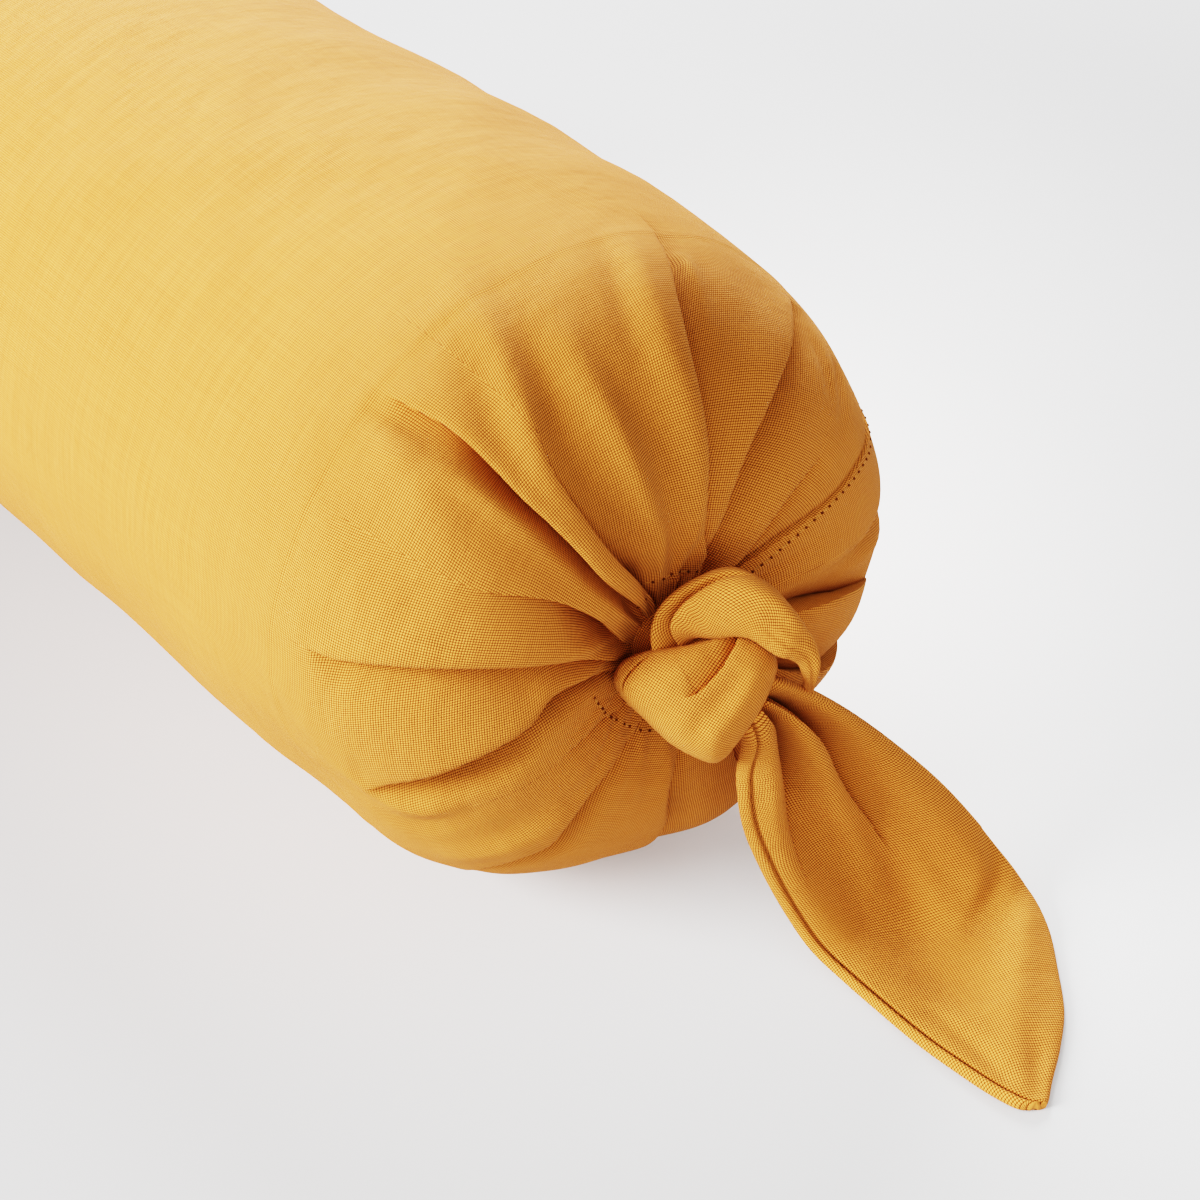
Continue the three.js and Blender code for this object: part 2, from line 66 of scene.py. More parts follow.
# The gathers of an end. Each is a fold of the cloth that runs out from the mouth.
# side: +1 if the cloth goes under at larger angles, -1 at smaller ones, 0 for a soft fold.
# sharp: 1 for a low side that falls away softly, 3 for a slot. tuck: how far it runs in under.
# stations: the length of cloth from the mouth's centre, the angle of the fold's edge there (in
# degrees from +Y towards +Z), how deep the low side lies, and how wide it is.
FOLD_COLUMNS = ("side", "sharp", "tuck", "stations")
FOLDS = {
    "seam": (1, 1.0, 0.0, [
        (400, 22.5, 0.7, 5), (130, 22.5, 0.7, 5), (86, 21.8, 0.8, 3.6), (70, 25, 0.9, 3.2),
        (57, 27.6, 1.2, 3.2), (50, 30, 1.4, 3), (40, 33.8, 1.6, 3), (30, 36.2, 1.5, 2.6),
        (12, 38, 0.8, 2)]),
    "beside_seam": (-1, 1.6, 1.0, [
        (62, 41, 0, 4), (54, 45, 2.5, 5), (46, 47.5, 4, 6), (40, 47.5, 4, 6), (34, 45.6, 3.5, 4),
        (28, 43, 3, 3), (12, 46, 1.5, 2)]),
    "right_pocket": (-1, 1.8, 3.0, [
        (112, 46, 0, 7), (103, 50, 5, 8), (90, 55, 9, 10), (75, 62.5, 11, 11), (60, 69, 11, 10),
        (50, 71.3, 9.5, 8), (40, 71.2, 7, 5.5), (30, 68, 4.5, 3.5), (20, 59, 3, 2.5), (12, 54, 2, 2)]),
    "top_pleat": (-1, 1.2, 3.0, [
        (138, 71, 0, 6), (128, 73, 1, 7), (119, 75.5, 2.6, 8), (110, 78, 4.6, 10), (98, 81.5, 6.6, 12),
        (80, 84.5, 7, 12), (60, 85, 6.5, 10),
        (45, 84, 5, 8), (35, 79.5, 4, 5), (25, 68, 2.5, 3), (12, 60, 2, 2)]),
    "hollow": (-1, 1.4, 1.5, [
        (88, 117, 0, 8), (76, 120, 0.8, 9), (66, 120.9, 1.8, 10), (56, 121.3, 3.2, 10),
        (46, 120.8, 5, 9), (37, 118.7, 6.5, 7), (28, 115, 6.5, 4.5), (20, 110.5, 4, 2.5),
        (12, 105, 3, 2)]),
    "long_slot": (1, 1.8, 3.0, [
        (122, 127.8, 0, 5), (114, 127.2, 2.6, 5.5), (106, 126.4, 4.2, 5.5), (98, 126.3, 6.5, 4.6),
        (88, 126.9, 9, 3.8), (78, 127.6, 9, 3.2), (68, 127.7, 8, 2.8), (56, 128, 7.5, 2.6),
        (46, 128.5, 7, 2.5), (38, 127.6, 6, 2.3), (30, 125.7, 5, 2.2), (20, 122.5, 5, 2),
        (12, 120.5, 4, 1.5)]),
    "slot_start": soft(
        (130, 131, 0, 4), (121, 130.5, 1.6, 3.6), (112, 129.8, 1.8, 4), (102, 130, 0.8, 5),
        (92, 131, 0, 5)),
    "slot_side": soft(
        (100, 133, 0, 8), (85, 134, 1.6, 9), (70, 135, 2.2, 9), (55, 134, 2, 8), (40, 133, 1.4, 5),
        (28, 130, 0, 3)),
    "left_hollow": (1, 1.7, 2.0, [
        (76, 147, 0, 7), (68, 145.3, 0.7, 9), (60, 143, 1.8, 9), (51, 141.2, 4, 8), (42, 140.8, 7, 7),
        (34, 141.7, 8, 5.5), (27, 144.7, 7, 4), (20, 150, 5, 3), (12, 162, 3, 2)]),
    "left_pleat": (1, 1.3, 2.5, [
        (112, 169, 0, 4), (105, 168.7, 5, 5), (90, 166.5, 7, 6), (70, 163.5, 8.5, 7),
        (55, 161.5, 9, 7), (44, 160.2, 8.5, 6), (36, 160.6, 7.5, 4.5), (28, 163.3, 5.5, 3),
        (20, 168.5, 3, 2.5), (12, 178, 3, 2)]),
    "low_valley": (1, 2.2, 1.0, [
        (101, 196.5, 0, 6), (92, 194, 5, 8), (80, 191.5, 9.5, 9), (70, 188.7, 11.5, 9),
        (60, 185.5, 12.5, 8), (52, 181.5, 13, 7), (46, 175.5, 13, 6), (40, 173, 12, 5),
        (33, 173.2, 10, 3), (26, 175.3, 7, 2.5), (20, 178.5, 5, 2), (12, 187, 3, 2)]),
    "small_pleat": (1, 1.5, 1.0, [
        (50, 203, 0, 3), (42, 202.3, 1, 4), (35, 204, 1.5, 4), (28, 208.5, 1.5, 3),
        (20, 219, 1.2, 2.5), (12, 232, 1, 2)]),
    "low_pleat": (1, 1.6, 2.0, [
        (106, 234, 0, 5), (94, 229.5, 4, 5), (84, 228, 8, 5), (76, 227.8, 11, 5), (67, 229.2, 13, 5),
        (60, 227.6, 12.5, 4.8), (52, 226.8, 10, 4.4), (45, 227, 7.5, 4), (38, 230, 5, 3.6),
        (30, 236, 2.5, 4), (22, 246.5, 2, 3), (12, 258, 2, 2)]),
    "low_rise": soft(
        (100, 222, 0, 7), (88, 220, -1.5, 6), (76, 220.5, -2, 5), (64, 221.5, -1.5, 4.5), (50, 220, 0, 4)),
    "under_pleat": (1, 1.4, 2.0, [
        (104, 270, 0, 8), (92, 268.5, 1.4, 8), (82, 267.5, 2.8, 7), (72, 267, 4.5, 6), (62, 266, 5.5, 5.5),
        (52, 263.5, 5.5, 5), (43, 263.5, 4.5, 4.5), (34, 269, 3.5, 4), (20, 283, 2.5, 3), (12, 290, 2, 2)]),
    "bottom_pleat": (1, 1.4, 2.0, [
        (98, 297, 0, 8), (80, 293, 4, 8), (60, 290, 4, 7), (40, 293, 3, 5), (20, 302, 2, 3),
        (12, 308, 2, 2)]),
    "back_low_pleat": (1, 1.5, 2.5, [
        (108, 312, 0, 8), (90, 309, 5, 9), (60, 306, 6, 8), (40, 308, 5, 5), (20, 315, 3, 3),
        (12, 321, 2, 2)]),
    "back_pleat": (1, 1.5, 2.5, [
        (112, 331, 0, 8), (90, 328, 3, 9), (60, 325, 5, 7), (40, 326, 5, 5), (20, 330, 3, 3),
        (12, 334, 2, 2)]),
    "behind_knot": (1, 1.8, 3.0, [
        (88, 343.5, 0, 8), (78, 346, 1.4, 9), (66, 348.5, 4.5, 8), (48, 352, 8, 6),
        (38, 353, 7, 5), (28, 351, 5, 3), (20, 348, 3, 3), (12, 346, 2, 2)]),
    "upper_left_ridge": soft(
        (150, 105, 0, 7), (130, 108, -1, 6), (110, 111.5, -1.8, 5), (100, 114, -2.2, 5), (90, 117, -2.5, 5),
        (80, 120, -1.8, 5), (65, 122, -0.8, 4), (50, 123.5, -0.8, 3), (35, 121.5, -0.5, 2.5)),
    "beside_slot_trough": soft(
        (122, 115.5, 0, 6), (108, 118, 0.9, 5.5), (98, 121, 1.1, 5.5), (88, 123.5, 1.1, 5),
        (78, 125, 0.7, 4), (65, 126, 0, 3)),
    "upper_trough": soft(
        (128, 104, 0, 6), (112, 106, 0.7, 6), (100, 109, 1.5, 6.5), (88, 112, 2.2, 7.5),
        (75, 114.5, 2.4, 8.5), (62, 115.5, 2, 9), (50, 114.5, 1.4, 8), (38, 112, 0, 6)),
    "crown_ridge": soft(
        (110, 101.5, 0, 5), (95, 103.5, -1, 4.5), (80, 104.5, -1.8, 4.5), (60, 104.5, -2, 4),
        (45, 103.5, -1.6, 3.5), (32, 101, -1, 3), (22, 97, -0.5, 2)),
    "crown_trough": soft(
        (102, 97, 0, 6), (88, 98.5, 0.6, 6), (75, 99, 1.1, 6), (60, 98.5, 1.5, 5), (45, 97, 1.7, 4),
        (32, 93, 1.3, 3.5), (22, 88, 1, 3)),
    "top_roll": soft(
        (132, 78, 0, 6), (118, 82, -0.9, 6), (105, 85.5, -1.8, 6), (90, 88, -2, 6), (75, 88.5, -1.7, 5.5),
        (60, 88, -1.2, 5), (45, 87, -0.8, 4), (30, 82, 0, 3)),
    "behind_roll_trough": soft(
        (128, 85, 0, 4), (115, 87.5, 0.7, 4), (104, 90.5, 1, 4.5), (88, 93.5, 0.8, 4.5), (70, 94.5, 0, 4)),
    "pocket_rim": soft(
        (120, 72, 0, 3), (112, 73, -2, 2.5), (103, 74.5, -2, 2.5), (94, 76, -1, 3), (85, 77, 0, 3)),
    "upper_pucker": soft((104, 44, 0, 2.5), (94, 43.5, 1.2, 2.5), (84, 42.5, 1.2, 2.5), (75, 42, 0, 3)),
    "lower_pucker": soft((98, 37, 0, 2.5), (90, 36.5, 1.5, 2.5), (78, 36.5, 1, 3), (68, 37, 0, 3)),
    "slot_lip": soft((104, 133, 0, 4), (90, 131.8, -1.5, 3.5), (78, 131, -1.2, 3.5), (62, 130, 0, 3)),
    "valley_rim": soft(
        (115, 192, 0, 6), (105, 195, -1, 5), (96, 199, -2, 5), (86, 201.5, -1.6, 5), (74, 202, 0, 6)),
    "valley_dip": soft((102, 206, 0, 5), (88, 206.5, 1.2, 4), (75, 205, 0.8, 4), (60, 205, 0, 4)),
    "left_dip": soft(
        (140, 140, 0, 12), (125, 143, 1.2, 12), (110, 147, 1.5, 12), (95, 150, 1, 10), (82, 152, 0, 9)),
    "left_swell": soft((120, 133, 0, 6), (108, 134.5, -1, 6), (95, 137, -1.2, 6), (84, 139, 0, 6)),
    "right_notch": soft(
        (98, 0.5, 0, 4), (86, 0.3, 2, 3.6), (72, 0.2, 3, 3.2), (58, 1.4, 1.6, 3), (45, 3, 0, 3)),
    "right_bump": soft(
        (94, -4.2, 0, 4), (82, -4.2, -1, 3.4), (68, -4.2, -1.2, 3), (56, -3, -0.6, 3), (45, -2, 0, 3)),
    "low_right_notch": soft(
        (88, -3, 0, 3), (76, -3.5, 0.8, 3), (65, -3, 1.2, 3), (55, -3, 1, 2.5), (46, -3, 0, 2)),
}
# The far end mirrors the knotted one about this angle, so that the long seam runs straight.
FAR_END_MIRROR = 45

# Small waves of the hem: height, waves round the mouth, phase. And the filling's unevenness:
# height, waves round the tube, pitch along it, phase.
RUFFLES = [(0.35, 23, 0.4), (0.3, 31, 1.7), (0.22, 47, 2.9)]
UNEVEN = [(0.35, 5, 19, 0.7), (0.3, 8, 13, 2.1), (0.22, 13, 9, 4.0), (0.12, 21, 6, 1.3)]

# Where the filling stands fuller or slacker than the even tube.
LUMP_COLUMNS = ("length", "angle", "height", "spread_length", "spread_angle")
LUMPS = [
    (205, 55, 1.8, 55, 30),
    (172, 58, 1.2, 14, 30),
    (222, 60, 1.3, 14, 32),
    (276, 62, 1.3, 16, 34),
    (110, 42, -3.2, 24, 22),
    (128, 206, -4.6, 26, 16),
    (210, 204, -2.4, 70, 16),
    (104, 18, -2.5, 18, 12),
    (80, 284, 3.8, 20, 16),
]

# Shade painted into the cloth's colour, over the top of the drawn end and beside the low sides
# of some folds: length, angle, share, spread along and round.
PAINTED_SHADE_PATCHES = [(92, 100, 0.34, 38, 34), (78, 62, 0.12, 30, 18), (60, 112, 0.1, 22, 16),
          (46, 180, 0.26, 15, 8), (74, 192, 0.14, 14, 6), (68, 231.5, 0.3, 12, 4),
          (50, 229.5, 0.22, 10, 3.5), (58, 269, 0.16, 14, 4)]
# How much shade is painted into the colour of a fold, for each millimetre of its depth, and at most.
PAINTED_CREASE_SHADE = 0.04
MOST_PAINTED_SHADE = 0.7

# The section of a fold beside its edge. On the low side, a crease is cut deeper by a share of the
# depth, over a reach, and with a sharpness. On the high side, a lip stands up: its height on the
# cover, on a strap and on the wrap as a share of the depth, its reach as a share of the spread, and
# how much of it the edge's rounding takes off again, over which reach.
CREASE_CUT = 0.28
CREASE_REACH = 1.1
CREASE_SHARP = 1.5
COVER_LIP = 0.16
STRAP_LIP = 0.1
WRAP_LIP = 0.12
LIP_REACH = 1.4
ROUNDING_SHARE = 0.9
ROUNDING_REACH = 0.9
# How far the cloth is drawn in under an edge, and how far a soft fold reaches on the cover, both
# as a share of the fold's spread. Then the depth from which a fold of the tie is tucked in fully.
TUCK_REACH = 0.7
SOFT_REACH = 4
TIE_TUCK_DEPTH = 4

# The cover's mesh. Columns round the tube, in degrees: from, to and how far apart. Then the extra
# columns on both sides of a fold's edge at either end, and the least distance between two.
COLUMN_SPANS = [(15, 285, 0.75), (285, 375, 1.5)]
EDGE_COLUMNS = {1: (0.06, 0.25, 0.6, 1.1), -1: (0.1, 0.6)}
COLUMNS_APART = 0.05
# Its rows: the length where the first one is, then how many lie over the cap, over the shoulder
# and a little beyond it, and along the body. The far end has only some rows of the knotted one.
MOUTH_START = 6
CAP_ROWS = 30
SHOULDER_ROWS = 60
SHOULDER_RUN_OUT = 10
BODY_ROWS = 26
FAR_MOUTH_START = 2.0
FAR_END_STRIDE = 4
FAR_BODY_ROWS = 12

# Rows of stitching: side (+1 for the knotted half, -1 for the far half), then stations of length
# and angle, counted as the gathers are. The first two are on the hem. The others run beside the
# long seam, from end to end.
STITCH_ROWS = [
    (1, [(22.3, 64), (22.8, 76), (23.3, 90), (23.6, 104), (23.4, 118), (23, 126)]),
    (1, [(28, 188), (26.5, 199), (26, 210), (25.4, 221), (25.4, 231), (26.3, 241), (27, 250), (26.6, 260)]),
    (1, [(29, 29.4), (40, 30.2), (45, 29.7), (50, 28.7), (57, 26.9), (70, 23.7), (86, 20.8), (130, 21),
         (324, 21)]),
    (-1, [(324, 24), (130, 24), (90, 24.2)]),
]
STITCH_PITCH = 3.1
# The shares of the pitch between which a gap between two holes gets a thread.
SEWN_GAPS = (0.6, 1.25)
# The points that a row's course is measured over, and how far to either side the cloth's slope is
# taken for a stitch: in millimetres, and round the tube by at least so many radians.
ROW_POINTS = 1500
SLOPE_STEP = 1.5
SLOPE_TURN = 0.01
# A thread between two holes: half its length as a share of the gap, how high it lies, and its
# rings: place along it, half thickness and height. The dark cap over a hole, which paints the shade
# in the needle hole: radius and height of each ring. Then the sides of both.
THREAD_SHARE = 0.36
THREAD_LIFT = 0.05
THREAD_RINGS = [(-1, 0.05, -0.12), (-0.8, 0.15, -0.04), (-0.3, 0.21, 0), (0.3, 0.21, 0),
                (0.8, 0.15, -0.04), (1, 0.05, -0.12)]
HOLE_SHADE_RINGS = [(0.4, -0.3), (0.36, 0.04), (0.2, 0.08)]
THREAD_SIDES = 6
HOLE_SIDES = 8
# The sewing thread's twist: how fine it is, and the share of the colour that its dark side keeps.
TWIST_SCALE = 2500
TWIST_SHADE = 0.75

# Along the middle the cloth is stretched flat: from and to which length, by how much its weave
# stands out less there, and the height that the weave evens out to.
TAUT_FROM_TO = (115, 190)
TAUT_SHARE = 0.6
TAUT_HEIGHT = 0.53
# The weave: how far a thread wanders from its line, in metres, how often, and where the noise is
# taken for the threads along the tube and round it.
THREAD_WANDER = 0.0009
WANDER_SCALE = 45
ALONG_SEED = 5.3
ROUND_SEED = 9.1
# Its streaks along the tube and round it, and the soft unevenness of the cloth: how fine each is
# round and along the tube, and a seed. The bumps of the threads and of the unevenness: strength
# and height in metres.
ALONG_STREAKS = (900, 22, 3.1)
ROUND_STREAKS = (20, 800, 7.7)
SOFT_WAVES = (75, 110, 1.7)
THREAD_BUMP = (1.0, 0.00022)
WAVE_BUMP = (0.5, 0.0016)
# How much the two kinds of streaks lighten the cloth, what that starts from, and the painted
# shade colour at the bottom of a crease.
SLUB_SHARES = (0.16, 0.2)
SLUB_START = 0.18
PAINTED_CREASE_SHADE_COLOUR = (0.14, 0.043, 0.006)
# Half the threads' pitch, where a thread is highest: the small closed ends take their colour there.
CAP_THREAD = 0.34

# The knot, in its own frame: across, up and out from its middle. The frame is turned round from
# +X towards +Y and tilted up. The knot's middle is counted from the crown of the end, across from
# the tube's middle, and from the height of its axis.
KNOT_TURN = math.radians(52)
KNOT_TILT = math.radians(35.5)
KNOT_MIDDLE = (11, -2, -1.5)

# The front wrap is the wide turn of cloth over the knot: its rim, clockwise from the top right,
# its highest place, the depth of its back, the roundness of its dome, and how the threads are
# turned on it. Its rings crowd a little towards the rim, run in to a small share of the way to the
# middle in front and at the back, and the folds fade out close to the rim.
WRAP_RIM = [
    (5, 11.5, 6), (10.5, 9.5, 6), (14.8, 6, 6), (16.3, 1.5, 5), (15.8, -1.5, 4), (14, -6.7, 3),
    (11.4, -11.8, 2), (8.2, -16.6, 1), (5.2, -20.6, 0), (3, -23.3, -1), (0, -24.6, -1),
    (-4.2, -23.4, 0), (-10.8, -19.8, 1), (-15.2, -16, 1), (-18.8, -12.4, 1), (-23, -8.6, 1),
    (-25.6, -4.6, 1), (-26, -1.8, 1), (-24.3, 1.4, 2), (-21, 3.6, 4), (-17, 4.9, 6),
    (-12, 5.6, 8), (-6, 6.6, 9), (-1, 7.9, 9), (2.5, 9.6, 8),
]
WRAP_MIDDLE = (-3.5, -6.5, 15.5)
WRAP_BACK = -9
WRAP_DOME = 2.4
WRAP_THREAD_TURN = math.radians(33)
WRAP_CROWDING = 0.9
WRAP_INNERMOST = (0.004, 0.02)
WRAP_RIM_FADE = 6

# Folds of the wrap: side (+1 if the cloth goes under to the left of the way it runs), sharp,
# tuck, and stations: across, up, depth, spread. Those shallower than a crease get a deeper cut.
CREASE_DEPTH = 3
WRAP_FOLDS = [
    (-1, 1.4, 1.4, [(6.2, 10.5, 5, 5), (5.3, 7.6, 4.6, 5.2), (3.5, 4.3, 4, 5.2), (1.6, 0.9, 3.4, 5),
                    (-1.3, -2.4, 2.6, 4.4), (-4.2, -5.3, 1.7, 3.6), (-6.1, -6.4, 0.8, 3), (-8, -6.9, 0, 3)]),
    soft((7, 1.5, 0, 3), (5.4, -2, 0.9, 3.2), (1.5, -7, 1.3, 3.5), (-2, -11, 1.2, 3.5), (-5, -15.5, 0.8, 3),
         (-7, -19, 0, 3)),
    soft((12.5, 2, 0, 2.5), (10, -4, -0.7, 3), (6, -10.5, -0.8, 3), (1.5, -16.5, -0.5, 3), (-1, -21, 0, 3)),
    (-1, 1.3, 0.8, [(-23.8, -6.8, 0.8, 1.6), (-23.4, -2.9, 2.4, 1.8), (-20.5, 0.9, 2.2, 2),
                    (-17.1, 3.3, 1.2, 2), (-13, 4.6, 0, 2)]),
    (-1, 1.3, 0.6, [(-25, -1, 0.9, 1.2), (-22, 2, 1.4, 1.2), (-18, 4.2, 1, 1.4), (-14, 5.1, 0, 1.4)]),
    soft((-20, -6, 0, 4), (-14, -3, -0.6, 4), (-7, 1, -0.8, 3.5), (-2, 4.5, 0, 3)),
]

# The upper band of the knot, from behind the wrap over the top to its right end. Each row: the
# inner edge and the outer edge (across, up, out), how high it is arched, and half its thickness.
BAND_ROWS = [
    (-6, -3, 1, -13, -2, -3, 2, 4),
    (-6.4, 3, 4, -12.6, 3, -1, 2.5, 4.5),
    (-6, 7, 7, -12, 8, 0, 3, 4.8),
    (-5, 8, 9, -10.6, 13.8, 1, 3.5, 5),
    (-3, 8.2, 11, -8, 18.6, 2, 4, 5),
    (0.5, 8.3, 13, -2.4, 23.1, 3, 4.2, 5),
    (5, 8.8, 14.5, 4.5, 25.6, 4, 4.2, 5),
    (9.2, 8.2, 15, 10.8, 22.6, 5, 4, 4.8),
    (13, 5.9, 14.5, 15.8, 17.4, 5.5, 3.6, 4.4),
    (16.6, 3.7, 13.5, 19.6, 12.3, 5.5, 3, 3.8),
    (19.6, 2.9, 12, 22.6, 7.8, 5, 2.4, 3),
    (21.8, 1.4, 9, 24.8, 3, 4, 1.8, 2.4),
    (22.8, -1.4, 4.5, 25.8, -0.8, 0, 1.3, 1.8),
    (23.6, -3.8, -3, 26.4, -3.8, -8, 1, 1.4),
    (23.8, -6, -10, 26.4, -6.5, -15, 1, 1.3),
    (23, -8, -16, 25, -9, -20, 1, 1.2),
]
# Folds of a strap: side (+1 if the cloth goes under away from its inner or left edge), sharp,
# tuck, and stations: share of the length, share of the width, depth, spread.
BAND_FOLDS = [
    soft((0.02, 0.2, 3.4, 1.1), (0.12, 0.24, 4.8, 1.1), (0.19, 0.34, 5, 1.1), (0.26, 0.47, 4.4, 1),
         (0.33, 0.58, 2.8, 0.9), (0.39, 0.66, 1.3, 0.9), (0.45, 0.72, 0, 0.9)),
    soft((0.02, 0.55, -0.8, 2), (0.15, 0.62, -1.4, 2.2), (0.26, 0.74, -1.4, 2.4), (0.36, 0.82, -0.8, 2.4),
         (0.45, 0.85, 0, 2.4)),
    soft((0.1, 0.03, -0.8, 1.4), (0.2, 0.12, -1.2, 1.8), (0.3, 0.3, -1, 2.2), (0.4, 0.4, 0, 2.4)),
    soft((0.45, 0.1, 0, 0.7), (0.52, 0.1, 0.7, 0.6), (0.62, 0.13, 0.8, 0.6), (0.72, 0.2, 0.8, 0.6),
         (0.82, 0.35, 0.7, 0.6), (0.92, 0.5, 0.5, 0.6), (1, 0.5, 0, 0.6)),
    soft((0.36, 0.4, 0, 2), (0.46, 0.42, -0.5, 2.5), (0.56, 0.5, -0.5, 2.2), (0.68, 0.6, 0, 2)),
    soft((0.4, 0.25, 0, 1.5), (0.5, 0.24, 0.5, 1.5), (0.6, 0.3, 0.5, 1.3), (0.7, 0.4, 0, 1.2)),
]

# The neck joins the knot to the mouth: across, up, out, half its width and half its thickness.
NECK = [
    (0, 0, -2, 13, 11),
    (-7, 5, -8, 12.5, 11.5),
    (-15, 11, -16, 12, 11),
]

# The tail from the knot to the point, x counted from the crown of the end: its left edge, its
# right edge, how high it is arched, and half its thickness.
TAIL_ROWS = [
    (16, -2, 82, 18.5, 8.9, 86.6, 0, 5),
    (21.9, -1.5, 72.8, 23, 14.4, 84.8, 0, 3),
    (22.5, -3, 60, 26.6, 28.2, 73, 0, 2.1),
    (24, -1.5, 44, 30, 43.5, 57, 0, 1.7),
    (27.5, 2.5, 29, 38.3, 58.8, 38, 0.5, 1.5),
    (33.5, 6.5, 15.5, 48.9, 70.1, 19, 1.5, 1.5),
    (42, 9.5, 5.5, 61, 74.5, 6, 2.5, 1.5),
    (54, 11, 2, 74, 70.2, 2.2, 3, 1.5),
    (68, 11, 1.5, 86.5, 61, 1.5, 2.6, 1.5),
    (83, 10.8, 1.5, 98.5, 50.8, 1.5, 2, 1.5),
    (97, 12, 1.5, 107.3, 40, 1.5, 1.2, 1.5),
    (107.8, 13.5, 1.5, 114, 30, 1.5, 0.6, 1.5),
    (114.5, 15.5, 1.5, 118, 24.5, 1.5, 0.3, 1.5),
    (117, 17.8, 1.5, 119, 22.6, 1.5, 0.1, 1.4),
]
TAIL_FOLDS = [
    (1, 1.1, 2.0, [(0, 0.44, 6, 3), (0.07, 0.43, 9, 4), (0.12, 0.45, 12, 5.5), (0.15, 0.405, 12, 6.5),
                   (0.18, 0.365, 10, 7.5), (0.21, 0.325, 7.5, 8), (0.25, 0.25, 4, 8), (0.3, 0.19, 1.4, 8),
                   (0.35, 0.16, 0, 8)]),
    (1, 1.1, 2.0, [(0, 0.5, 3, 2), (0.05, 0.6, 6, 3), (0.1, 0.67, 9, 4), (0.15, 0.705, 11, 5),
                   (0.19, 0.69, 10, 7), (0.23, 0.635, 7.5, 9), (0.27, 0.6, 4.5, 11), (0.31, 0.59, 2, 12),
                   (0.36, 0.58, 0, 12)]),
    soft((0.2, 0.68, 0, 6), (0.27, 0.65, 1.6, 8), (0.34, 0.62, 2.8, 9), (0.43, 0.58, 2.2, 10),
         (0.54, 0.52, 0, 10)),
    soft((0, 0.24, -1.5, 3), (0.1, 0.26, -3, 4), (0.18, 0.24, -3.4, 4.6), (0.26, 0.16, -2.6, 5),
         (0.36, 0.12, -1.4, 5), (0.5, 0.1, 0, 5)),
    soft((0, 0.54, -1, 3), (0.12, 0.61, -3.2, 3.6), (0.2, 0.58, -4, 4.6), (0.28, 0.49, -3.4, 5.5),
         (0.36, 0.44, -1.8, 6.5), (0.45, 0.42, 0, 7)),
    soft((0.07, 0.48, 0, 2.5), (0.12, 0.49, 3, 2.8), (0.17, 0.44, 4, 3.4), (0.22, 0.38, 3.6, 4),
         (0.29, 0.31, 2.2, 5), (0.38, 0.27, 0, 5)),
    soft((0, 0.86, -1, 2), (0.1, 0.88, -2, 3), (0.2, 0.9, -3, 5), (0.3, 0.87, -3, 8), (0.4, 0.84, -1.6, 9),
         (0.5, 0.82, 0, 9)),
    soft((0.26, 0.4, 0, 9), (0.36, 0.42, 3.4, 12), (0.47, 0.42, 5, 14), (0.57, 0.38, 3.4, 13),
         (0.68, 0.35, 0, 12)),
    soft((0.2, 0.52, 0, 4), (0.26, 0.47, 1.2, 4), (0.33, 0.4, 1.4, 5), (0.42, 0.3, 0.8, 6),
         (0.5, 0.25, 0, 6)),
    soft((0.3, 0.66, 0, 4), (0.36, 0.65, -1.6, 5), (0.42, 0.62, -1.8, 5), (0.5, 0.6, 0, 6)),
    soft((0.37, 1.02, 0.8, 4), (0.42, 0.93, 1.6, 4), (0.46, 0.82, 1.8, 5), (0.51, 0.68, 1.2, 6),
         (0.57, 0.56, 0, 6)),
    soft((0.46, 0.98, 0, 5), (0.52, 0.9, -1.8, 6), (0.6, 0.8, -2, 7), (0.7, 0.66, -1.6, 7),
         (0.8, 0.55, -0.8, 6), (0.9, 0.5, 0, 6)),
    soft((0.7, 0.72, 0, 4), (0.78, 0.75, 0.9, 3.4), (0.87, 0.72, 0.6, 3), (0.94, 0.7, 0, 3)),
    soft((0.62, 0.2, 0, 3), (0.7, 0.26, 0.8, 3), (0.8, 0.3, 0.7, 2.6), (0.88, 0.3, 0, 2.6)),
]
# The seam beside the tail's edge: how far in it lies, over which share of the length it starts,
# the depth and reach of its groove, the height and reach of the roll outside it and how far
# outside, and the share and reach of the shade painted into its groove's colour.
TAIL_SEAM_INSET = 3.4
SEAM_STARTS = (0.0, 0.06)
SEAM_GROOVE = (1.1, 0.42)
SEAM_ROLL = (0.7, 1.3, 1.7)
SEAM_SHADE = (0.4, 0.4)
# The share of the tail's length over which more shade is painted into its folds at the root.
ROOT_SHARE = 0.2

# The stage, in metres. The floor's pale patch, a painted pool of light that greys off outwards: its
# middle, its reach either way and its turn, then the reach of the floor round it, beyond which it is
# even, and how steeply that sets in. The lamps: size, then the place, what they point at, and the
# power of each.
LIGHT_POOL_MIDDLE = (0.12, 0.12, 0)
LIGHT_POOL_REACH = (0.37, 0.545, 1)
LIGHT_POOL_TURN = math.radians(52)
EVEN_FLOOR_REACH = (1.8, 1.8, 1)
EVEN_FLOOR_SLOPE = 2.0
LAMP_SIZE = 1.2
LAMPS = {
    "key_light": ((-0.4, -2.0, 1.0), (0.15, 0, 0.05), 140),
    "back_light": ((-1.6, 1.0, 1.3), (0.15, 0, 0.05), 140),
    "fill_light": ((1.5, -0.8, 0.45), (0.2, 0, 0.05), 12),
}
# The camera's place from the crown of the knotted end, at the surface, and the way it looks:
# round from +Y towards -X, and down.
CAMERA_PLACE = (0.3869, -0.3303, 0.4662)
CAMERA_TURN = math.radians(52.262)
CAMERA_TILT = math.radians(35.49)

# ---------------------------------------------------------------- settings

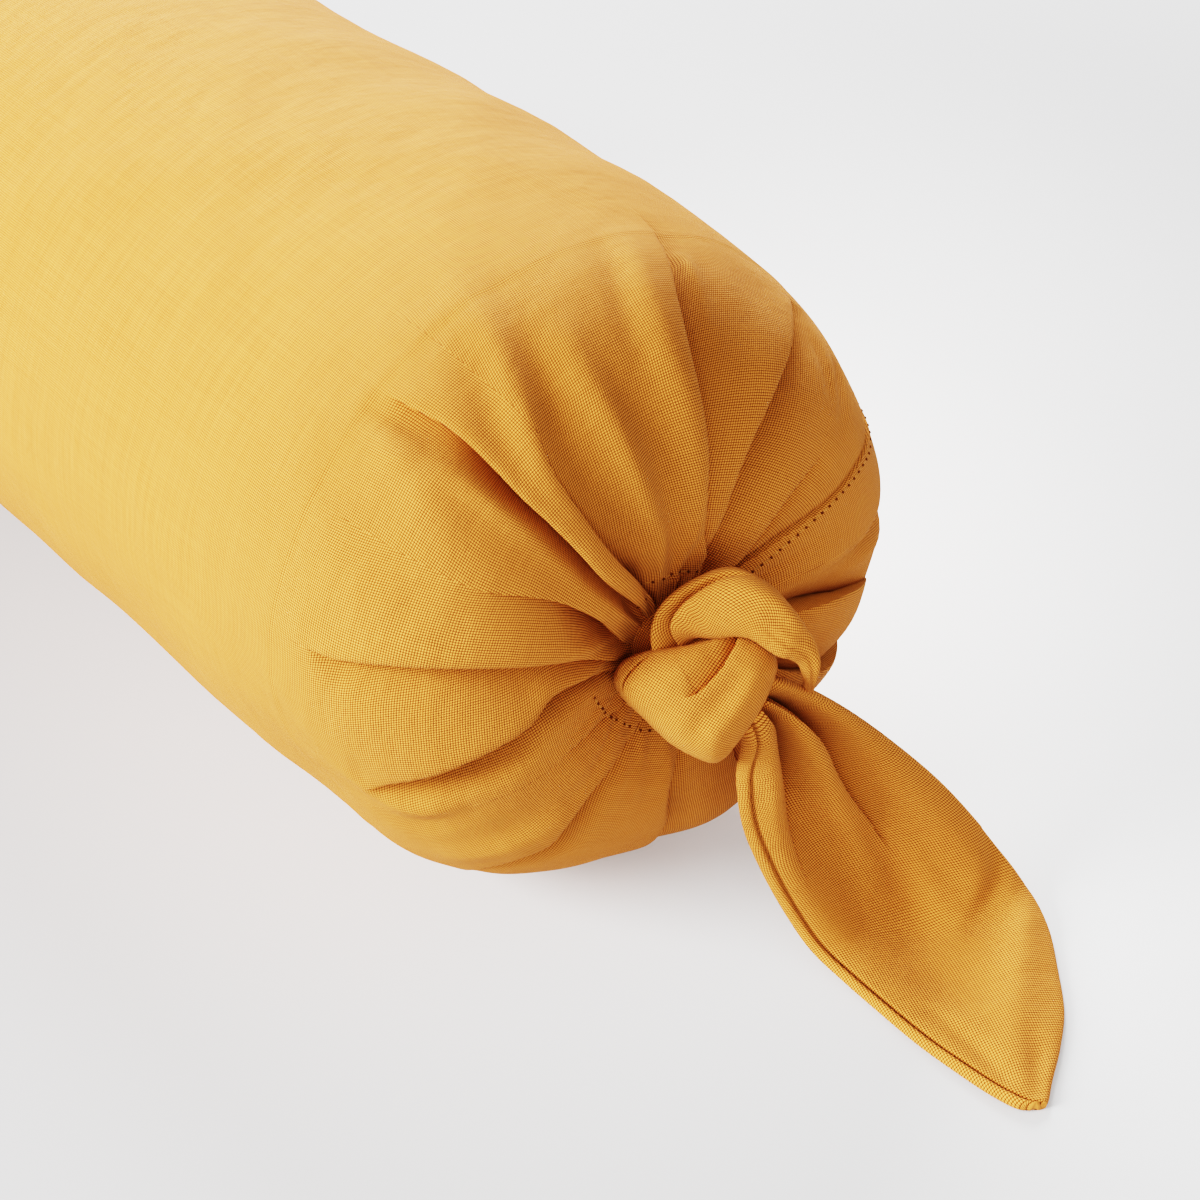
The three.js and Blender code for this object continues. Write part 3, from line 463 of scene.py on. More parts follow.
class BolsterCoverSettings(bpy.types.PropertyGroup):
    radius: bpy.props.FloatProperty(
        name="Radius", description="Half the width of the filled tube",
        default=BODY_RADIUS * MM, unit="LENGTH")
    length: bpy.props.FloatProperty(
        name="Length", description="Between the crowns of the two ends",
        default=BODY_LENGTH * MM, unit="LENGTH")
    height_share: bpy.props.FloatProperty(
        name="Height share", description="Height over width of the settled filling",
        default=0.965, min=0.5, max=1.0, subtype="FACTOR")
    sit: bpy.props.FloatProperty(
        name="Sit", description="How far the round section would reach below the surface",
        default=0.006, unit="LENGTH")
    shoulder: bpy.props.FloatProperty(
        name="Shoulder", description="Radius of the rounded shoulder at each end",
        default=0.052, unit="LENGTH")
    draw_in: bpy.props.FloatProperty(
        name="Draw in", description="Share of the radius that the gathers take off at the shoulder",
        default=0.03, subtype="FACTOR")
    mouth_depth: bpy.props.FloatProperty(
        name="Mouth depth", description="How far the mouth lies behind the crown of the end",
        default=0.009, unit="LENGTH")


class BolsterClothSettings(bpy.types.PropertyGroup):
    colour: bpy.props.FloatVectorProperty(
        name="Colour", description="Colour of the mustard cloth",
        default=(0.59, 0.218, 0.054), subtype="COLOR", size=3, min=0, max=1)
    deep_colour: bpy.props.FloatVectorProperty(
        name="Deep colour", description="Colour between the threads",
        default=(0.13, 0.034, 0.003), subtype="COLOR", size=3, min=0, max=1)
    thread_colour: bpy.props.FloatVectorProperty(
        name="Thread colour", description="Colour of the sewing thread",
        default=(0.47, 0.20, 0.05), subtype="COLOR", size=3, min=0, max=1)
    # Painted shade: the colour of the dark caps set over the needle holes.
    hole_shade_colour: bpy.props.FloatVectorProperty(
        name="Hole colour", description="Colour in the needle holes",
        default=(0.13, 0.036, 0.004), subtype="COLOR", size=3, min=0, max=1)
    thread_pitch: bpy.props.FloatProperty(
        name="Thread pitch", description="Distance between neighbouring threads",
        default=0.00068, unit="LENGTH", precision=5)


class BolsterStageSettings(bpy.types.PropertyGroup):
    floor_colour: bpy.props.FloatVectorProperty(
        name="Floor", description="Colour of the pale surface",
        default=(0.96, 0.96, 0.96), subtype="COLOR", size=3, min=0, max=1)
    # Painted light falloff: away from the pale pool round the object the floor greys to this colour.
    floor_painted_falloff_colour: bpy.props.FloatVectorProperty(
        name="Floor edge", description="Colour of the surface away from the object",
        default=(0.26, 0.26, 0.263), subtype="COLOR", size=3, min=0, max=1)
    far_floor_colour: bpy.props.FloatVectorProperty(
        name="Far floor", description="Colour of the surface far away",
        default=(0.76, 0.76, 0.76), subtype="COLOR", size=3, min=0, max=1)
    floor_size: bpy.props.FloatProperty(
        name="Floor size", description="Side of the pale surface", default=12.0, unit="LENGTH")
    lens: bpy.props.FloatProperty(
        name="Lens", description="Focal length in millimetres", default=72.0)


# ---------------------------------------------------------------- curves and meshes

def named(columns, rows):
    """The rows of a table as dictionaries, by the names of its columns."""
    return [dict(zip(columns, row)) for row in rows]


def smoothstep(value, low, high):
    """From 0 at low to 1 at high, without a corner."""
    share = np.clip((value - low) / (high - low), 0.0, 1.0)
    return share * share * (3 - 2 * share)


def near_turn(angle):
    """The same angle within half a turn of 0."""
    return angle - 2 * np.pi * np.round(angle / (2 * np.pi))


def through(rows, at):
    """A smooth curve through rows whose first column is the place; the other columns at `at`."""
    rows = np.array(sorted(rows), float)
    x, y = rows[:, 0], rows[:, 1:]
    slope = np.diff(y, axis=0) / np.diff(x)[:, None]
    steep = np.vstack([slope[:1], (slope[1:] + slope[:-1]) / 2, slope[-1:]])
    at = np.clip(at, x[0], x[-1])
    k = np.clip(np.searchsorted(x, at, side="right") - 1, 0, len(x) - 2)
    step = (x[k + 1] - x[k])[..., None]
    f = ((at - x[k]) / (x[k + 1] - x[k]))[..., None]
    return (y[k] * (1 + 2 * f) * (1 - f) ** 2 + y[k + 1] * f * f * (3 - 2 * f)
            + step * f * (1 - f) * (steep[k] * (1 - f) - steep[k + 1] * f))


def evenly_through(rows, at):
    """The same through rows that are spaced evenly from 0 to 1."""
    places = np.linspace(0, 1, len(rows))
    return through([(place, *row) for place, row in zip(places, rows)], at)


def unit(vectors):
    """Vectors of the same directions, 1 long."""
    return vectors / np.maximum(np.linalg.norm(vectors, axis=-1, keepdims=True), 1e-9)


def relief(off, depth, spread, side, sharp, lip=COVER_LIP, cut=CREASE_CUT):
    """How far a fold presses the cloth in, at a distance from its edge."""
    if side == 0:
        return depth * np.exp(-(off / spread) ** 2)
    low = off * side
    crease = cut * np.exp(-(np.abs(low) / CREASE_REACH) ** CREASE_SHARP)
    fall = np.exp(-(np.abs(low) / spread) ** sharp) + crease
    rounding = ROUNDING_SHARE * lip * np.exp(-np.abs(low) / ROUNDING_REACH)
    stand = lip * np.exp(-(low / (LIP_REACH * spread)) ** 2) - rounding
    return depth * np.where(low > 0, fall, -stand)


def tucked(off, spread, side):
    """How much of the cloth beside a fold's edge is drawn in under it: only that of the low side."""
    return np.exp(-(off / (TUCK_REACH * spread)) ** 2) * (off * side > 0)


def ring_faces(rings, around):
    """Quads between rings that each go round."""
    i, j = np.meshgrid(np.arange(rings - 1), np.arange(around), indexing="ij")
    a = i * around + j
    b = i * around + (j + 1) % around
    return np.stack([a, b, b + around, a + around], -1).reshape(-1, 4)


def end_faces(rings, around, start=0):
    """One face over each end of a row of rings."""
    last = start + (rings - 1) * around
    return [tuple(range(start, start + around))[::-1], tuple(range(last, last + around))]


def mesh_from(name, points, faces, threads=None, painted_shade=None):
    """A mesh object from points in millimetres. threads: where each corner lies in the weave, in
    metres. The last argument: how much shade is painted into the colour at each point."""
    mesh = bpy.data.meshes.new(name)
    mesh.from_pydata((points * MM).tolist(), [], faces)
    if threads is not None:
        layer = mesh.uv_layers.new(name="threads")
        layer.data.foreach_set("uv", np.asarray(threads, np.float32).ravel())
    if painted_shade is not None:
        shade = mesh.attributes.new("painted_shade", "FLOAT", "POINT")
        shade.data.foreach_set("value", np.clip(np.asarray(painted_shade, np.float32).ravel(), 0, MOST_PAINTED_SHADE))
    mesh.polygons.foreach_set("use_smooth", np.ones(len(mesh.polygons), bool))
    mesh.update()
    piece = bpy.data.objects.new(name, mesh)
    bpy.context.scene.collection.objects.link(piece)
    return piece


def closed_mesh(name, rings, here, beside, painted_shade=None):
    """A closed mesh from rings of points, with the threads' places at both sides of each quad."""
    count, around = rings.shape[:2]
    corners = np.stack([here[:-1], beside[:-1], beside[1:], here[1:]], 2).reshape(-1, 2)
    corners = np.concatenate([corners, np.full((2 * around, 2), CAP_THREAD)]) * MM
    faces = ring_faces(count, around).tolist() + end_faces(count, around)
    return mesh_from(name, rings.reshape(-1, 3), faces, corners, painted_shade)


# ---------------------------------------------------------------- materials

def set_inputs(node, values):
    """Set a node's inputs by name."""
    for name, value in values.items():
        node.inputs[name].default_value = value


def new_material(name, inputs):
    """A material, its nodes and its shader, whose inputs are set."""
    material = bpy.data.materials.new(name)
    material.use_nodes = True
    shader = material.node_tree.nodes["Principled BSDF"]
    set_inputs(shader, inputs)
    return material, material.node_tree, shader


def mix_colours(tree, factor, low, high):
    """From the colour low at 0 to the colour high at 1; either may come from another node."""
    node = tree.nodes.new("ShaderNodeMix")
    node.data_type = "RGBA"
    tree.links.new(factor, node.inputs["Factor"])
    for name, colour in (("A", low), ("B", high)):
        if isinstance(colour, bpy.types.NodeSocket):
            tree.links.new(colour, node.inputs[name])
        else:
            node.inputs[name].default_value = (*colour, 1)
    return node.outputs["Result"]


def cloth_material(name, cloth, contrast=2.0):
    """Plain weave: two sets of threads with slubs, in colour and bump, with shade painted into the creases
    and over the drawn end.
    """
    material, tree, shader = new_material(name, {
        "Roughness": 0.92, "Specular IOR Level": 0.12,
        "Sheen Weight": 0.06, "Sheen Roughness": 0.45, "Sheen Tint": (1.0, 0.78, 0.42, 1.0)})
    nodes, links = tree.nodes, tree.links
    uv = nodes.new("ShaderNodeUVMap")
    uv.uv_map = "threads"
    split = nodes.new("ShaderNodeSeparateXYZ")
    links.new(uv.outputs[0], split.inputs[0])
    turns = math.pi / cloth.thread_pitch

    def calculate(operation, a, b=None):
        """An operation on numbers or on other nodes' values."""
        node = nodes.new("ShaderNodeMath")
        node.operation = operation
        for socket, value in zip(node.inputs, (a, b)):
            if isinstance(value, (int, float)):
                socket.default_value = value
            elif value is not None:
                links.new(value, socket)
        return node.outputs[0]

    def of_mesh(layer):
        """The values of one of the mesh's layers."""
        node = nodes.new("ShaderNodeAttribute")
        node.attribute_name = layer
        return node.outputs["Fac"]

    def slub(scale_u, scale_v, seed):
        """Long faint streaks along the threads."""
        stretch = nodes.new("ShaderNodeMapping")
        set_inputs(stretch, {"Scale": (scale_u, scale_v, 1), "Location": (seed, seed * 2, 0)})
        links.new(uv.outputs[0], stretch.inputs["Vector"])
        noise = nodes.new("ShaderNodeTexNoise")
        noise.noise_dimensions = "2D"
        set_inputs(noise, {"Scale": 1.0, "Detail": 2.0})
        links.new(stretch.outputs[0], noise.inputs["Vector"])
        return noise.outputs["Fac"]

    def ridges(place, seed):
        """Threads side by side, each line wandering a little as woven yarn does."""
        wander = calculate("MULTIPLY", slub(WANDER_SCALE, WANDER_SCALE, seed), THREAD_WANDER)
        across = calculate("MULTIPLY", calculate("ADD", place, wander), turns)
        return calculate("ABSOLUTE", calculate("SINE", across))

    def bump(height, strength, distance):
        """A surface raised by a height."""
        node = nodes.new("ShaderNodeBump")
        set_inputs(node, {"Strength": strength, "Distance": distance})
        links.new(height, node.inputs["Height"])
        return node

    crossing = calculate("MULTIPLY", ridges(split.outputs[0], ALONG_SEED),
                         ridges(split.outputs[1], ROUND_SEED))
    raised = calculate("POWER", crossing, 0.5)
    eased = calculate("MULTIPLY", of_mesh("taut"), TAUT_SHARE)
    flattened = calculate("MULTIPLY", calculate("SUBTRACT", TAUT_HEIGHT, raised), eased)
    height = calculate("ADD", raised, flattened)

    open_weave = calculate("ADD", calculate("MULTIPLY", height, contrast), 0.5 - 0.5 * contrast)
    streaks = calculate("ADD", calculate("MULTIPLY", slub(*ALONG_STREAKS), SLUB_SHARES[0]),
                        calculate("MULTIPLY", slub(*ROUND_STREAKS), SLUB_SHARES[1]))
    paleness = calculate("ADD", calculate("SUBTRACT", open_weave, SLUB_START), streaks)
    woven = mix_colours(tree, paleness, cloth.deep_colour, cloth.colour)
    # Shade painted into the colour from the mesh's layer: towards the crease colour in folds and over the
    # drawn end.
    links.new(mix_colours(tree, of_mesh("painted_shade"), woven, PAINTED_CREASE_SHADE_COLOUR), shader.inputs["Base Color"])

    waves = bump(slub(*SOFT_WAVES), *WAVE_BUMP)
    threads = bump(height, *THREAD_BUMP)
    links.new(waves.outputs[0], threads.inputs["Normal"])
    links.new(threads.outputs[0], shader.inputs["Normal"])
    return material


def sewn_material(name, colour, roughness):
    """Twisted thread, or the painted shade of a needle hole: fine noise in the colour over an even finish.
    """
    material, tree, shader = new_material(name, {"Roughness": roughness, "Specular IOR Level": 0.2})
    place = tree.nodes.new("ShaderNodeTexCoord")
    noise = tree.nodes.new("ShaderNodeTexNoise")
    noise.inputs["Scale"].default_value = TWIST_SCALE
    tree.links.new(place.outputs["Object"], noise.inputs["Vector"])
    twisted = mix_colours(tree, noise.outputs["Fac"], [c * TWIST_SHADE for c in colour], colour)
    tree.links.new(twisted, shader.inputs["Base Color"])
    return material


def floor_material(stage):
    """A pale surface with a painted pool of light: palest round the object, greyer outwards, even again far
    away. It also glows a little, evenly.
    """
    material, tree, shader = new_material("pale_surface_painted_light_pool", {
        "Roughness": 0.8, "Specular IOR Level": 0.1,
        "Emission Color": (1, 1, 1, 1), "Emission Strength": 0.18})
    place = tree.nodes.new("ShaderNodeTexCoord")

    def patch(kind, reach, turn):
        """1 in the middle of a round patch, 0 at its rim and beyond."""
        spread = tree.nodes.new("ShaderNodeMapping")
        spread.vector_type = "TEXTURE"
        set_inputs(spread, {"Location": LIGHT_POOL_MIDDLE, "Rotation": (0, 0, turn), "Scale": reach})
        fade = tree.nodes.new("ShaderNodeTexGradient")
        fade.gradient_type = kind
        tree.links.new(place.outputs["Object"], spread.inputs["Vector"])
        tree.links.new(spread.outputs[0], fade.inputs["Vector"])
        return fade.outputs["Fac"]

    # The painted pool of light: the palest colour in its middle, greying off to the edge colour.
    near = mix_colours(tree, patch("QUADRATIC_SPHERE", LIGHT_POOL_REACH, LIGHT_POOL_TURN),
                       stage.floor_painted_falloff_colour, stage.floor_colour)
    nearness = tree.nodes.new("ShaderNodeMath")
    nearness.operation = "MULTIPLY"
    nearness.use_clamp = True
    nearness.inputs[1].default_value = EVEN_FLOOR_SLOPE
    tree.links.new(patch("SPHERICAL", EVEN_FLOOR_REACH, 0), nearness.inputs[0])
    whole = mix_colours(tree, nearness.outputs[0], stage.far_floor_colour, near)
    tree.links.new(whole, shader.inputs["Base Color"])
    return material


# ---------------------------------------------------------------- the cover

class CoverForm:
    """The bolster's filled form: its outline, its section and the gathers of both ends."""

    # How softly the underside meets the surface, and how far along the tube an end is drawn in.
    SIT_BLEND = 2.0
    DRAW_IN_LENGTH = 100.0
    # The mouth's radius and how far across and up it lies off the tube's middle, and the radius
    # from which the tube is round its middle again.
    MOUTH_RADIUS = 9.0
    MOUTH_SHIFT = (-3.0, -3.0)
    MOUTH_SHIFT_REACH = 90.0
    # The folds rise out of the mouth between these lengths of cloth. Where the ring is smaller
    # than this radius, the cloth has less room to run in under an edge, down to the least share.
    # A fold of this depth is tucked in fully, and no ring counts as smaller than the last radius.
    FOLDS_RISE = (6, 24)
    ROOM_RADIUS = 50.0
    LEAST_ROOM = 0.35
    FULL_TUCK_DEPTH = 5.0
    LEAST_RADIUS = 5.0
    # Where the hem's ruffles are highest, how fast they die away, and where they start.
    RUFFLE_LENGTH = 18
    RUFFLE_FALL = 500.0
    RUFFLES_RISE = (8, 16)
    # Towards the far end the lumps are moved along and round, more and more over this stretch.
    FAR_LUMPS_MOVE = (30, 2.0)
    FAR_LUMPS_FROM_TO = (250, 150)
    # From here on outwards the threads run round the tube evenly, and no longer over each fold.
    THREADS_EVEN = (98, 122)

    def __init__(self, settings):
        self.radius = settings.radius / MM
        self.length = settings.length / MM
        self.height_share = settings.height_share
        self.sit = settings.sit / MM
        self.shoulder = settings.shoulder / MM
        self.draw_in = settings.draw_in
        self.mouth_depth = settings.mouth_depth / MM
        self.cap_radius = self.radius * (1 - self.draw_in) - self.shoulder
        self.axis_height = self.radius * self.height_share - self.sit
        self.end_length = self.cap_radius + self.shoulder * math.pi / 2
        self.half_length = self.end_length + self.length / 2 - self.shoulder
        self.folds = named(FOLD_COLUMNS, FOLDS.values())
        self.edged = [fold for fold in self.folds if fold["side"]]
        self.lumps = named(LUMP_COLUMNS, LUMPS)

    def outline(self, s):
        """From the mouth's centre outwards: how far behind the crown, the radius and the lean."""
        s = np.asarray(s, float)
        dish = self.mouth_depth * (1 - (s / self.cap_radius) ** 2) ** 2
        lean = math.pi / 2 - (s - self.cap_radius) / self.shoulder
        along = s - self.end_length
        last = math.exp(-(self.length / 2 - self.shoulder) / self.DRAW_IN_LENGTH)
        fade = np.exp(-np.maximum(along, 0) / self.DRAW_IN_LENGTH) - last
        on_cap, on_shoulder = s <= self.cap_radius, lean >= 0
        back = np.where(on_cap, dish, np.where(
            on_shoulder, self.shoulder * (1 - np.sin(lean)), self.shoulder + along))
        radius = np.where(on_cap, s, np.where(
            on_shoulder, self.cap_radius + self.shoulder * np.cos(lean),
            self.radius * (1 - self.draw_in * fade)))
        return back, radius, np.where(on_cap, math.pi / 2, np.where(on_shoulder, lean, 0.0))

    def own_angle(self, side, angle):
        """An angle as the gathers of that end count it."""
        return angle if side > 0 else math.radians(FAR_END_MIRROR) - angle

    def edge_angles(self, s):
        """The angles of all folds with an edge, in turn: at their rims, and on the ring at s."""
        rims = np.radians([max(fold["stations"])[1] for fold in self.edged])
        paths = np.radians([through(fold["stations"], np.array(float(s)))[0] for fold in self.edged])
        order = np.argsort(rims)
        return rims[order], paths[order]

    def follow(self, s, own):
        """The angles of the mesh's columns on the ring at s, where they follow the folds."""
        rims, paths = self.edge_angles(s)
        turn = 2 * np.pi
        first = np.mod(own, turn)
        rims = np.concatenate([rims - turn, rims, rims + turn])
        paths = np.concatenate([paths - turn, paths, paths + turn])
        return np.interp(first, rims, paths) - first + own

    def rings(self, side, lengths, columns):
        """For rings of the mesh: their lengths from the mouth, and the angles of their columns."""
        own = np.stack([self.follow(s, self.own_angle(side, columns)) for s in lengths])
        return np.asarray(lengths, float)[:, None], own

    def press(self, s, radius, own):
        """How far the gathers press in, and how far they pull the cloth round, in millimetres."""
        inward = np.zeros(own.shape)
        sideways = np.zeros(own.shape)
        room = np.clip(radius / self.ROOM_RADIUS, self.LEAST_ROOM, 1.0)
        for fold in self.folds:
            side, sharp, stations = fold["side"], fold["sharp"], fold["stations"]
            path, depth, spread = np.moveaxis(through(stations, s), -1, 0)
            off = near_turn(own - np.radians(path)) * radius
            if side == 0:
                outside = (s > max(stations)[0]) | (s < min(stations)[0])
                near = ~outside & (np.abs(off) < SOFT_REACH * spread)
                inward += np.where(near, relief(off, depth, spread, side, sharp), 0)
                continue
            inward += relief(off, depth, spread, side, sharp)
            share = np.clip(depth / self.FULL_TUCK_DEPTH, 0, 1) * room * fold["tuck"]
            sideways -= side * share * tucked(off, spread, side)
        fade = smoothstep(s, *self.FOLDS_RISE)
        ruffle = sum(height * np.sin(waves * own + phase) for height, waves, phase in RUFFLES)
        hem = np.exp(-(s - self.RUFFLE_LENGTH) ** 2 / self.RUFFLE_FALL)
        return inward * fade + ruffle * hem * smoothstep(s, *self.RUFFLES_RISE), sideways * fade

    def swell(self, side, s, angle):
        """How far the lumps of the filling lift the cloth."""
        lift = 0.0
        if side < 0:
            share = smoothstep(s, *self.FAR_LUMPS_FROM_TO)
            s, angle = s + self.FAR_LUMPS_MOVE[0] * share, angle + self.FAR_LUMPS_MOVE[1] * share
        for lump in self.lumps:
            across = np.degrees(near_turn(angle - math.radians(lump["angle"]))) / lump["spread_angle"]
            along = (s - lump["length"]) / lump["spread_length"]
            lift = lift + lump["height"] * np.exp(-across ** 2 - along ** 2)
        for height, waves, pitch, phase in UNEVEN:
            along = side * (self.half_length - s) / pitch
            lift = lift + height * np.sin(waves * angle + phase) * np.sin(along + 2 * phase)
        return lift

    def surface(self, side, s, own):
        """Points of the cover at a length from the mouth and an angle round it. side: +1 at the
        knotted end, -1 at the far end."""
        angle = self.own_angle(side, own)
        back, radius, lean = self.outline(s)
        inward, sideways = self.press(s + 0 * own, radius, own)
        inward = inward - self.swell(side, s, angle)
        angle = angle + side * sideways / np.maximum(radius, self.LEAST_RADIUS)
        ring = radius - inward * np.cos(lean)
        back = back + inward * np.sin(lean)
        shift = 1 - smoothstep(radius, self.MOUTH_RADIUS, self.MOUTH_SHIFT_REACH)
        x = side * (self.length / 2 - back)
        y = ring * np.cos(angle) + self.MOUTH_SHIFT[0] * shift
        z = ring * self.height_share * np.sin(angle) + self.MOUTH_SHIFT[1] * shift + self.axis_height
        settled = (z + self.SIT_BLEND) ** 2 / (4 * self.SIT_BLEND)
        z = np.where(z <= -self.SIT_BLEND, 0.0, np.where(z >= self.SIT_BLEND, z, settled))
        return np.stack([x, y, z], -1)

    def threads(self, side, lengths, columns):
        """Where the threads run, round the tube and along it, for both sides of every quad."""
        s, own = self.rings(side, lengths, columns)
        radius = self.outline(s)[1]
        even = smoothstep(s, *self.THREADS_EVEN)
        round_cloth = radius + (self.radius - radius) * even
        rims = self.edge_angles(0)[0]
        paths = np.stack([self.edge_angles(v)[1] for v in lengths])
        turn = 2 * np.pi
        rims = np.append(rims, rims[0] + turn)
        paths = np.hstack([paths, paths[:, :1] + turn])
        following = np.append(columns[1:], columns[0] + turn)
        quad_sides = self.own_angle(side, columns), self.own_angle(side, following)
        quad = np.mod(sum(quad_sides) / 2 - rims[0], turn) + rims[0]
        panel = np.clip(np.searchsorted(rims, quad) - 1, 0, len(rims) - 2)
        centre = ((paths[:, 1:] + paths[:, :-1]) / 2)[:, panel]
        centre_rim = ((rims[1:] + rims[:-1]) / 2)[panel]
        along = np.repeat(side * (self.half_length - s), len(columns), axis=1)

        points = self.surface(side, s, own)
        steps = np.linalg.norm(np.roll(points, -1, axis=1) - points, axis=2)
        run = np.cumsum(steps, axis=1) - steps
        whole = steps.sum(axis=1, keepdims=True)
        middle_run = np.stack([self.run_at(side, *ring) for ring in zip(centre, own, run, whole)])

        def round_at(column, place, run):
            on_body = side * self.radius * near_turn(self.own_angle(side, column) - centre_rim)
            over = run - middle_run
            over = over - whole * np.round(over / whole)
            level = side * round_cloth * near_turn(place - centre)
            return self.radius * column + over * (1 - even) + level * even - on_body

        here = round_at(columns, own, run)
        there = round_at(following, np.roll(own, -1, axis=1), run + steps)
        return np.stack([here, along], -1), np.stack([there, along], -1)

    def run_at(self, side, centre, own, run, whole):
        """How far round a ring, over its folds, the angles of `centre` lie."""
        turns = np.arange(-2, 3)[:, None]
        places = (side * np.unwrap(own) + turns * 2 * np.pi).ravel()
        return np.interp(side * centre, places, (run + turns * whole).ravel())

    def painted_shade_at(self, side, lengths, columns):
        """How much shade is painted into the cloth's colour: in the creases, over the drawn end and beside
        some folds.
        """
        s, own = self.rings(side, lengths, columns)
        inward = self.press(s + 0 * own, self.outline(s)[1], own)[0]
        painted_shade = PAINTED_CREASE_SHADE * np.maximum(inward, 0)
        for length, angle, share, spread, spread_angle in PAINTED_SHADE_PATCHES:
            off = np.degrees(near_turn(own - math.radians(angle))) / spread_angle
            painted_shade = painted_shade + share * np.exp(-off ** 2 - ((s - length) / spread) ** 2)
        return painted_shade

    def mesh_columns(self):
        """Columns round the tube, closer beside the edge of each fold."""
        columns = [angle for span in COLUMN_SPANS for angle in np.radians(np.arange(*span))]
        for side, offsets in EDGE_COLUMNS.items():
            for fold in self.edged:
                rim = math.radians(max(fold["stations"])[1])
                for offset in np.radians(offsets):
                    columns += [self.own_angle(side, rim - offset), self.own_angle(side, rim + offset)]
        columns = np.sort(np.mod(columns, 2 * np.pi))
        keep = np.concatenate([[True], np.diff(columns) > math.radians(COLUMNS_APART)])
        return columns[keep]


def build_cover(settings):
    """The filled cover in one closed mesh, from the far end's mouth to the knotted end's."""
    form = CoverForm(settings)
    columns = form.mesh_columns()
    body_start = form.end_length + SHOULDER_RUN_OUT
    end = np.concatenate([np.linspace(MOUTH_START, form.cap_radius, CAP_ROWS, endpoint=False),
                          np.linspace(form.cap_radius, body_start, SHOULDER_ROWS, endpoint=False)])
    near_rows = np.concatenate([end, np.linspace(body_start, form.half_length, BODY_ROWS)])[::-1]
    far_rows = np.concatenate([[FAR_MOUTH_START], end[::FAR_END_STRIDE],
                               np.linspace(body_start, form.half_length, FAR_BODY_ROWS)[:-1]])
    halves = ((-1, far_rows, columns), (1, near_rows, columns))
    points = np.concatenate([form.surface(half[0], *form.rings(*half)) for half in halves])
    here, beside = (np.concatenate(places) for places in zip(*(form.threads(*half) for half in halves)))
    # Shade painted into the colour: in the creases, over the drawn end and beside some folds.
    painted_shade = np.concatenate([form.painted_shade_at(*half) for half in halves])
    cover = closed_mesh("cushion_cover", points, here, beside, painted_shade)
    taut = smoothstep(np.concatenate([far_rows, near_rows]), *TAUT_FROM_TO)
    layer = cover.data.attributes.new("taut", "FLOAT", "POINT")
    layer.data.foreach_set("value", np.repeat(taut, len(columns)).astype(np.float32))
    return cover


class BOLSTER_OT_cover(bpy.types.Operator):
    """Make the filled cover with its gathered ends"""
    bl_idname = "bolster.cover"
    bl_label = "Make the cover"

    def execute(self, context):
        cover = build_cover(context.scene.bolster_cover)
        cover.data.materials.append(cloth_material("mustard_cover_cloth", context.scene.bolster_cloth))
        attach(cover, "root")
        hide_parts("cushion")
        return {"FINISHED"}


# ---------------------------------------------------------------- the stitching

def stitch_places(form, side, stations):
    """The needle holes of one row on the cover, and the way out of the cloth at each."""
    curve = evenly_through(stations, np.linspace(0, 1, ROW_POINTS))
    s, own = curve[:, :1], np.radians(curve[:, 1:])
    path = form.surface(side, s, own)[:, 0]
    along = form.surface(side, s + SLOPE_STEP, own)[:, 0] - form.surface(side, s - SLOPE_STEP, own)[:, 0]
    turn = np.maximum(SLOPE_STEP / form.outline(s)[1], SLOPE_TURN)
    across = form.surface(side, s, own + turn)[:, 0] - form.surface(side, s, own - turn)[:, 0]
    out = unit(np.cross(across, along))
    run = np.concatenate([[0], np.cumsum(np.linalg.norm(np.diff(path, axis=0), axis=1))])
    at = np.arange(0, run[-1], STITCH_PITCH)
    holes, lifts = (np.stack([np.interp(at, run, values[:, k]) for k in range(3)], -1)
                    for values in (path, out))
    return holes, unit(lifts)


def stitch_forms(holes, out):
    """Threads between neighbouring holes and, over each hole, a dark cap of painted shade for the
    needle hole: their points and faces, and which of the two materials each face has."""
    points, faces, kinds = [], [], []

    def add(rings, kind):
        """Add a small closed form of rings."""
        count, around = rings.shape[:2]
        start = sum(len(p) for p in points)
        points.append(rings.reshape(-1, 3))
        new = (ring_faces(count, around) + start).tolist() + end_faces(count, around, start)
        faces.extend(new)
        kinds.extend([kind] * len(new))

    def circle(sides, across, up):
        """Points round a circle with a radius of 1."""
        a = np.linspace(0, 2 * np.pi, sides, endpoint=False)[:, None]
        return np.cos(a) * across + np.sin(a) * up

    share, thick, dip = np.array(THREAD_RINGS).T[..., None, None]
    gaps = np.linalg.norm(np.diff(holes, axis=0), axis=1)
    for k, gap in enumerate(gaps):
        if not SEWN_GAPS[0] * STITCH_PITCH < gap < SEWN_GAPS[1] * STITCH_PITCH:
            continue
        along, lift = unit(holes[k + 1] - holes[k]), unit(out[k] + out[k + 1])
        middle = (holes[k] + holes[k + 1]) / 2 + lift * THREAD_LIFT
        ring = circle(THREAD_SIDES, np.cross(along, lift), -lift)
        place = share * along * THREAD_SHARE * gap
        add((middle + place + dip * lift + ring * thick)[::-1], 0)
    # A dark cap over each hole: painted shade in the needle hole.
    for hole, lift in zip(holes, out):
        side = unit(np.cross(lift, (0.3, 0.5, 0.8)))
        ring = circle(HOLE_SIDES, side, np.cross(lift, side))
        add(np.array([hole + ring * wide + lift * high for wide, high in HOLE_SHADE_RINGS]), 1)
    return np.concatenate(points), faces, kinds


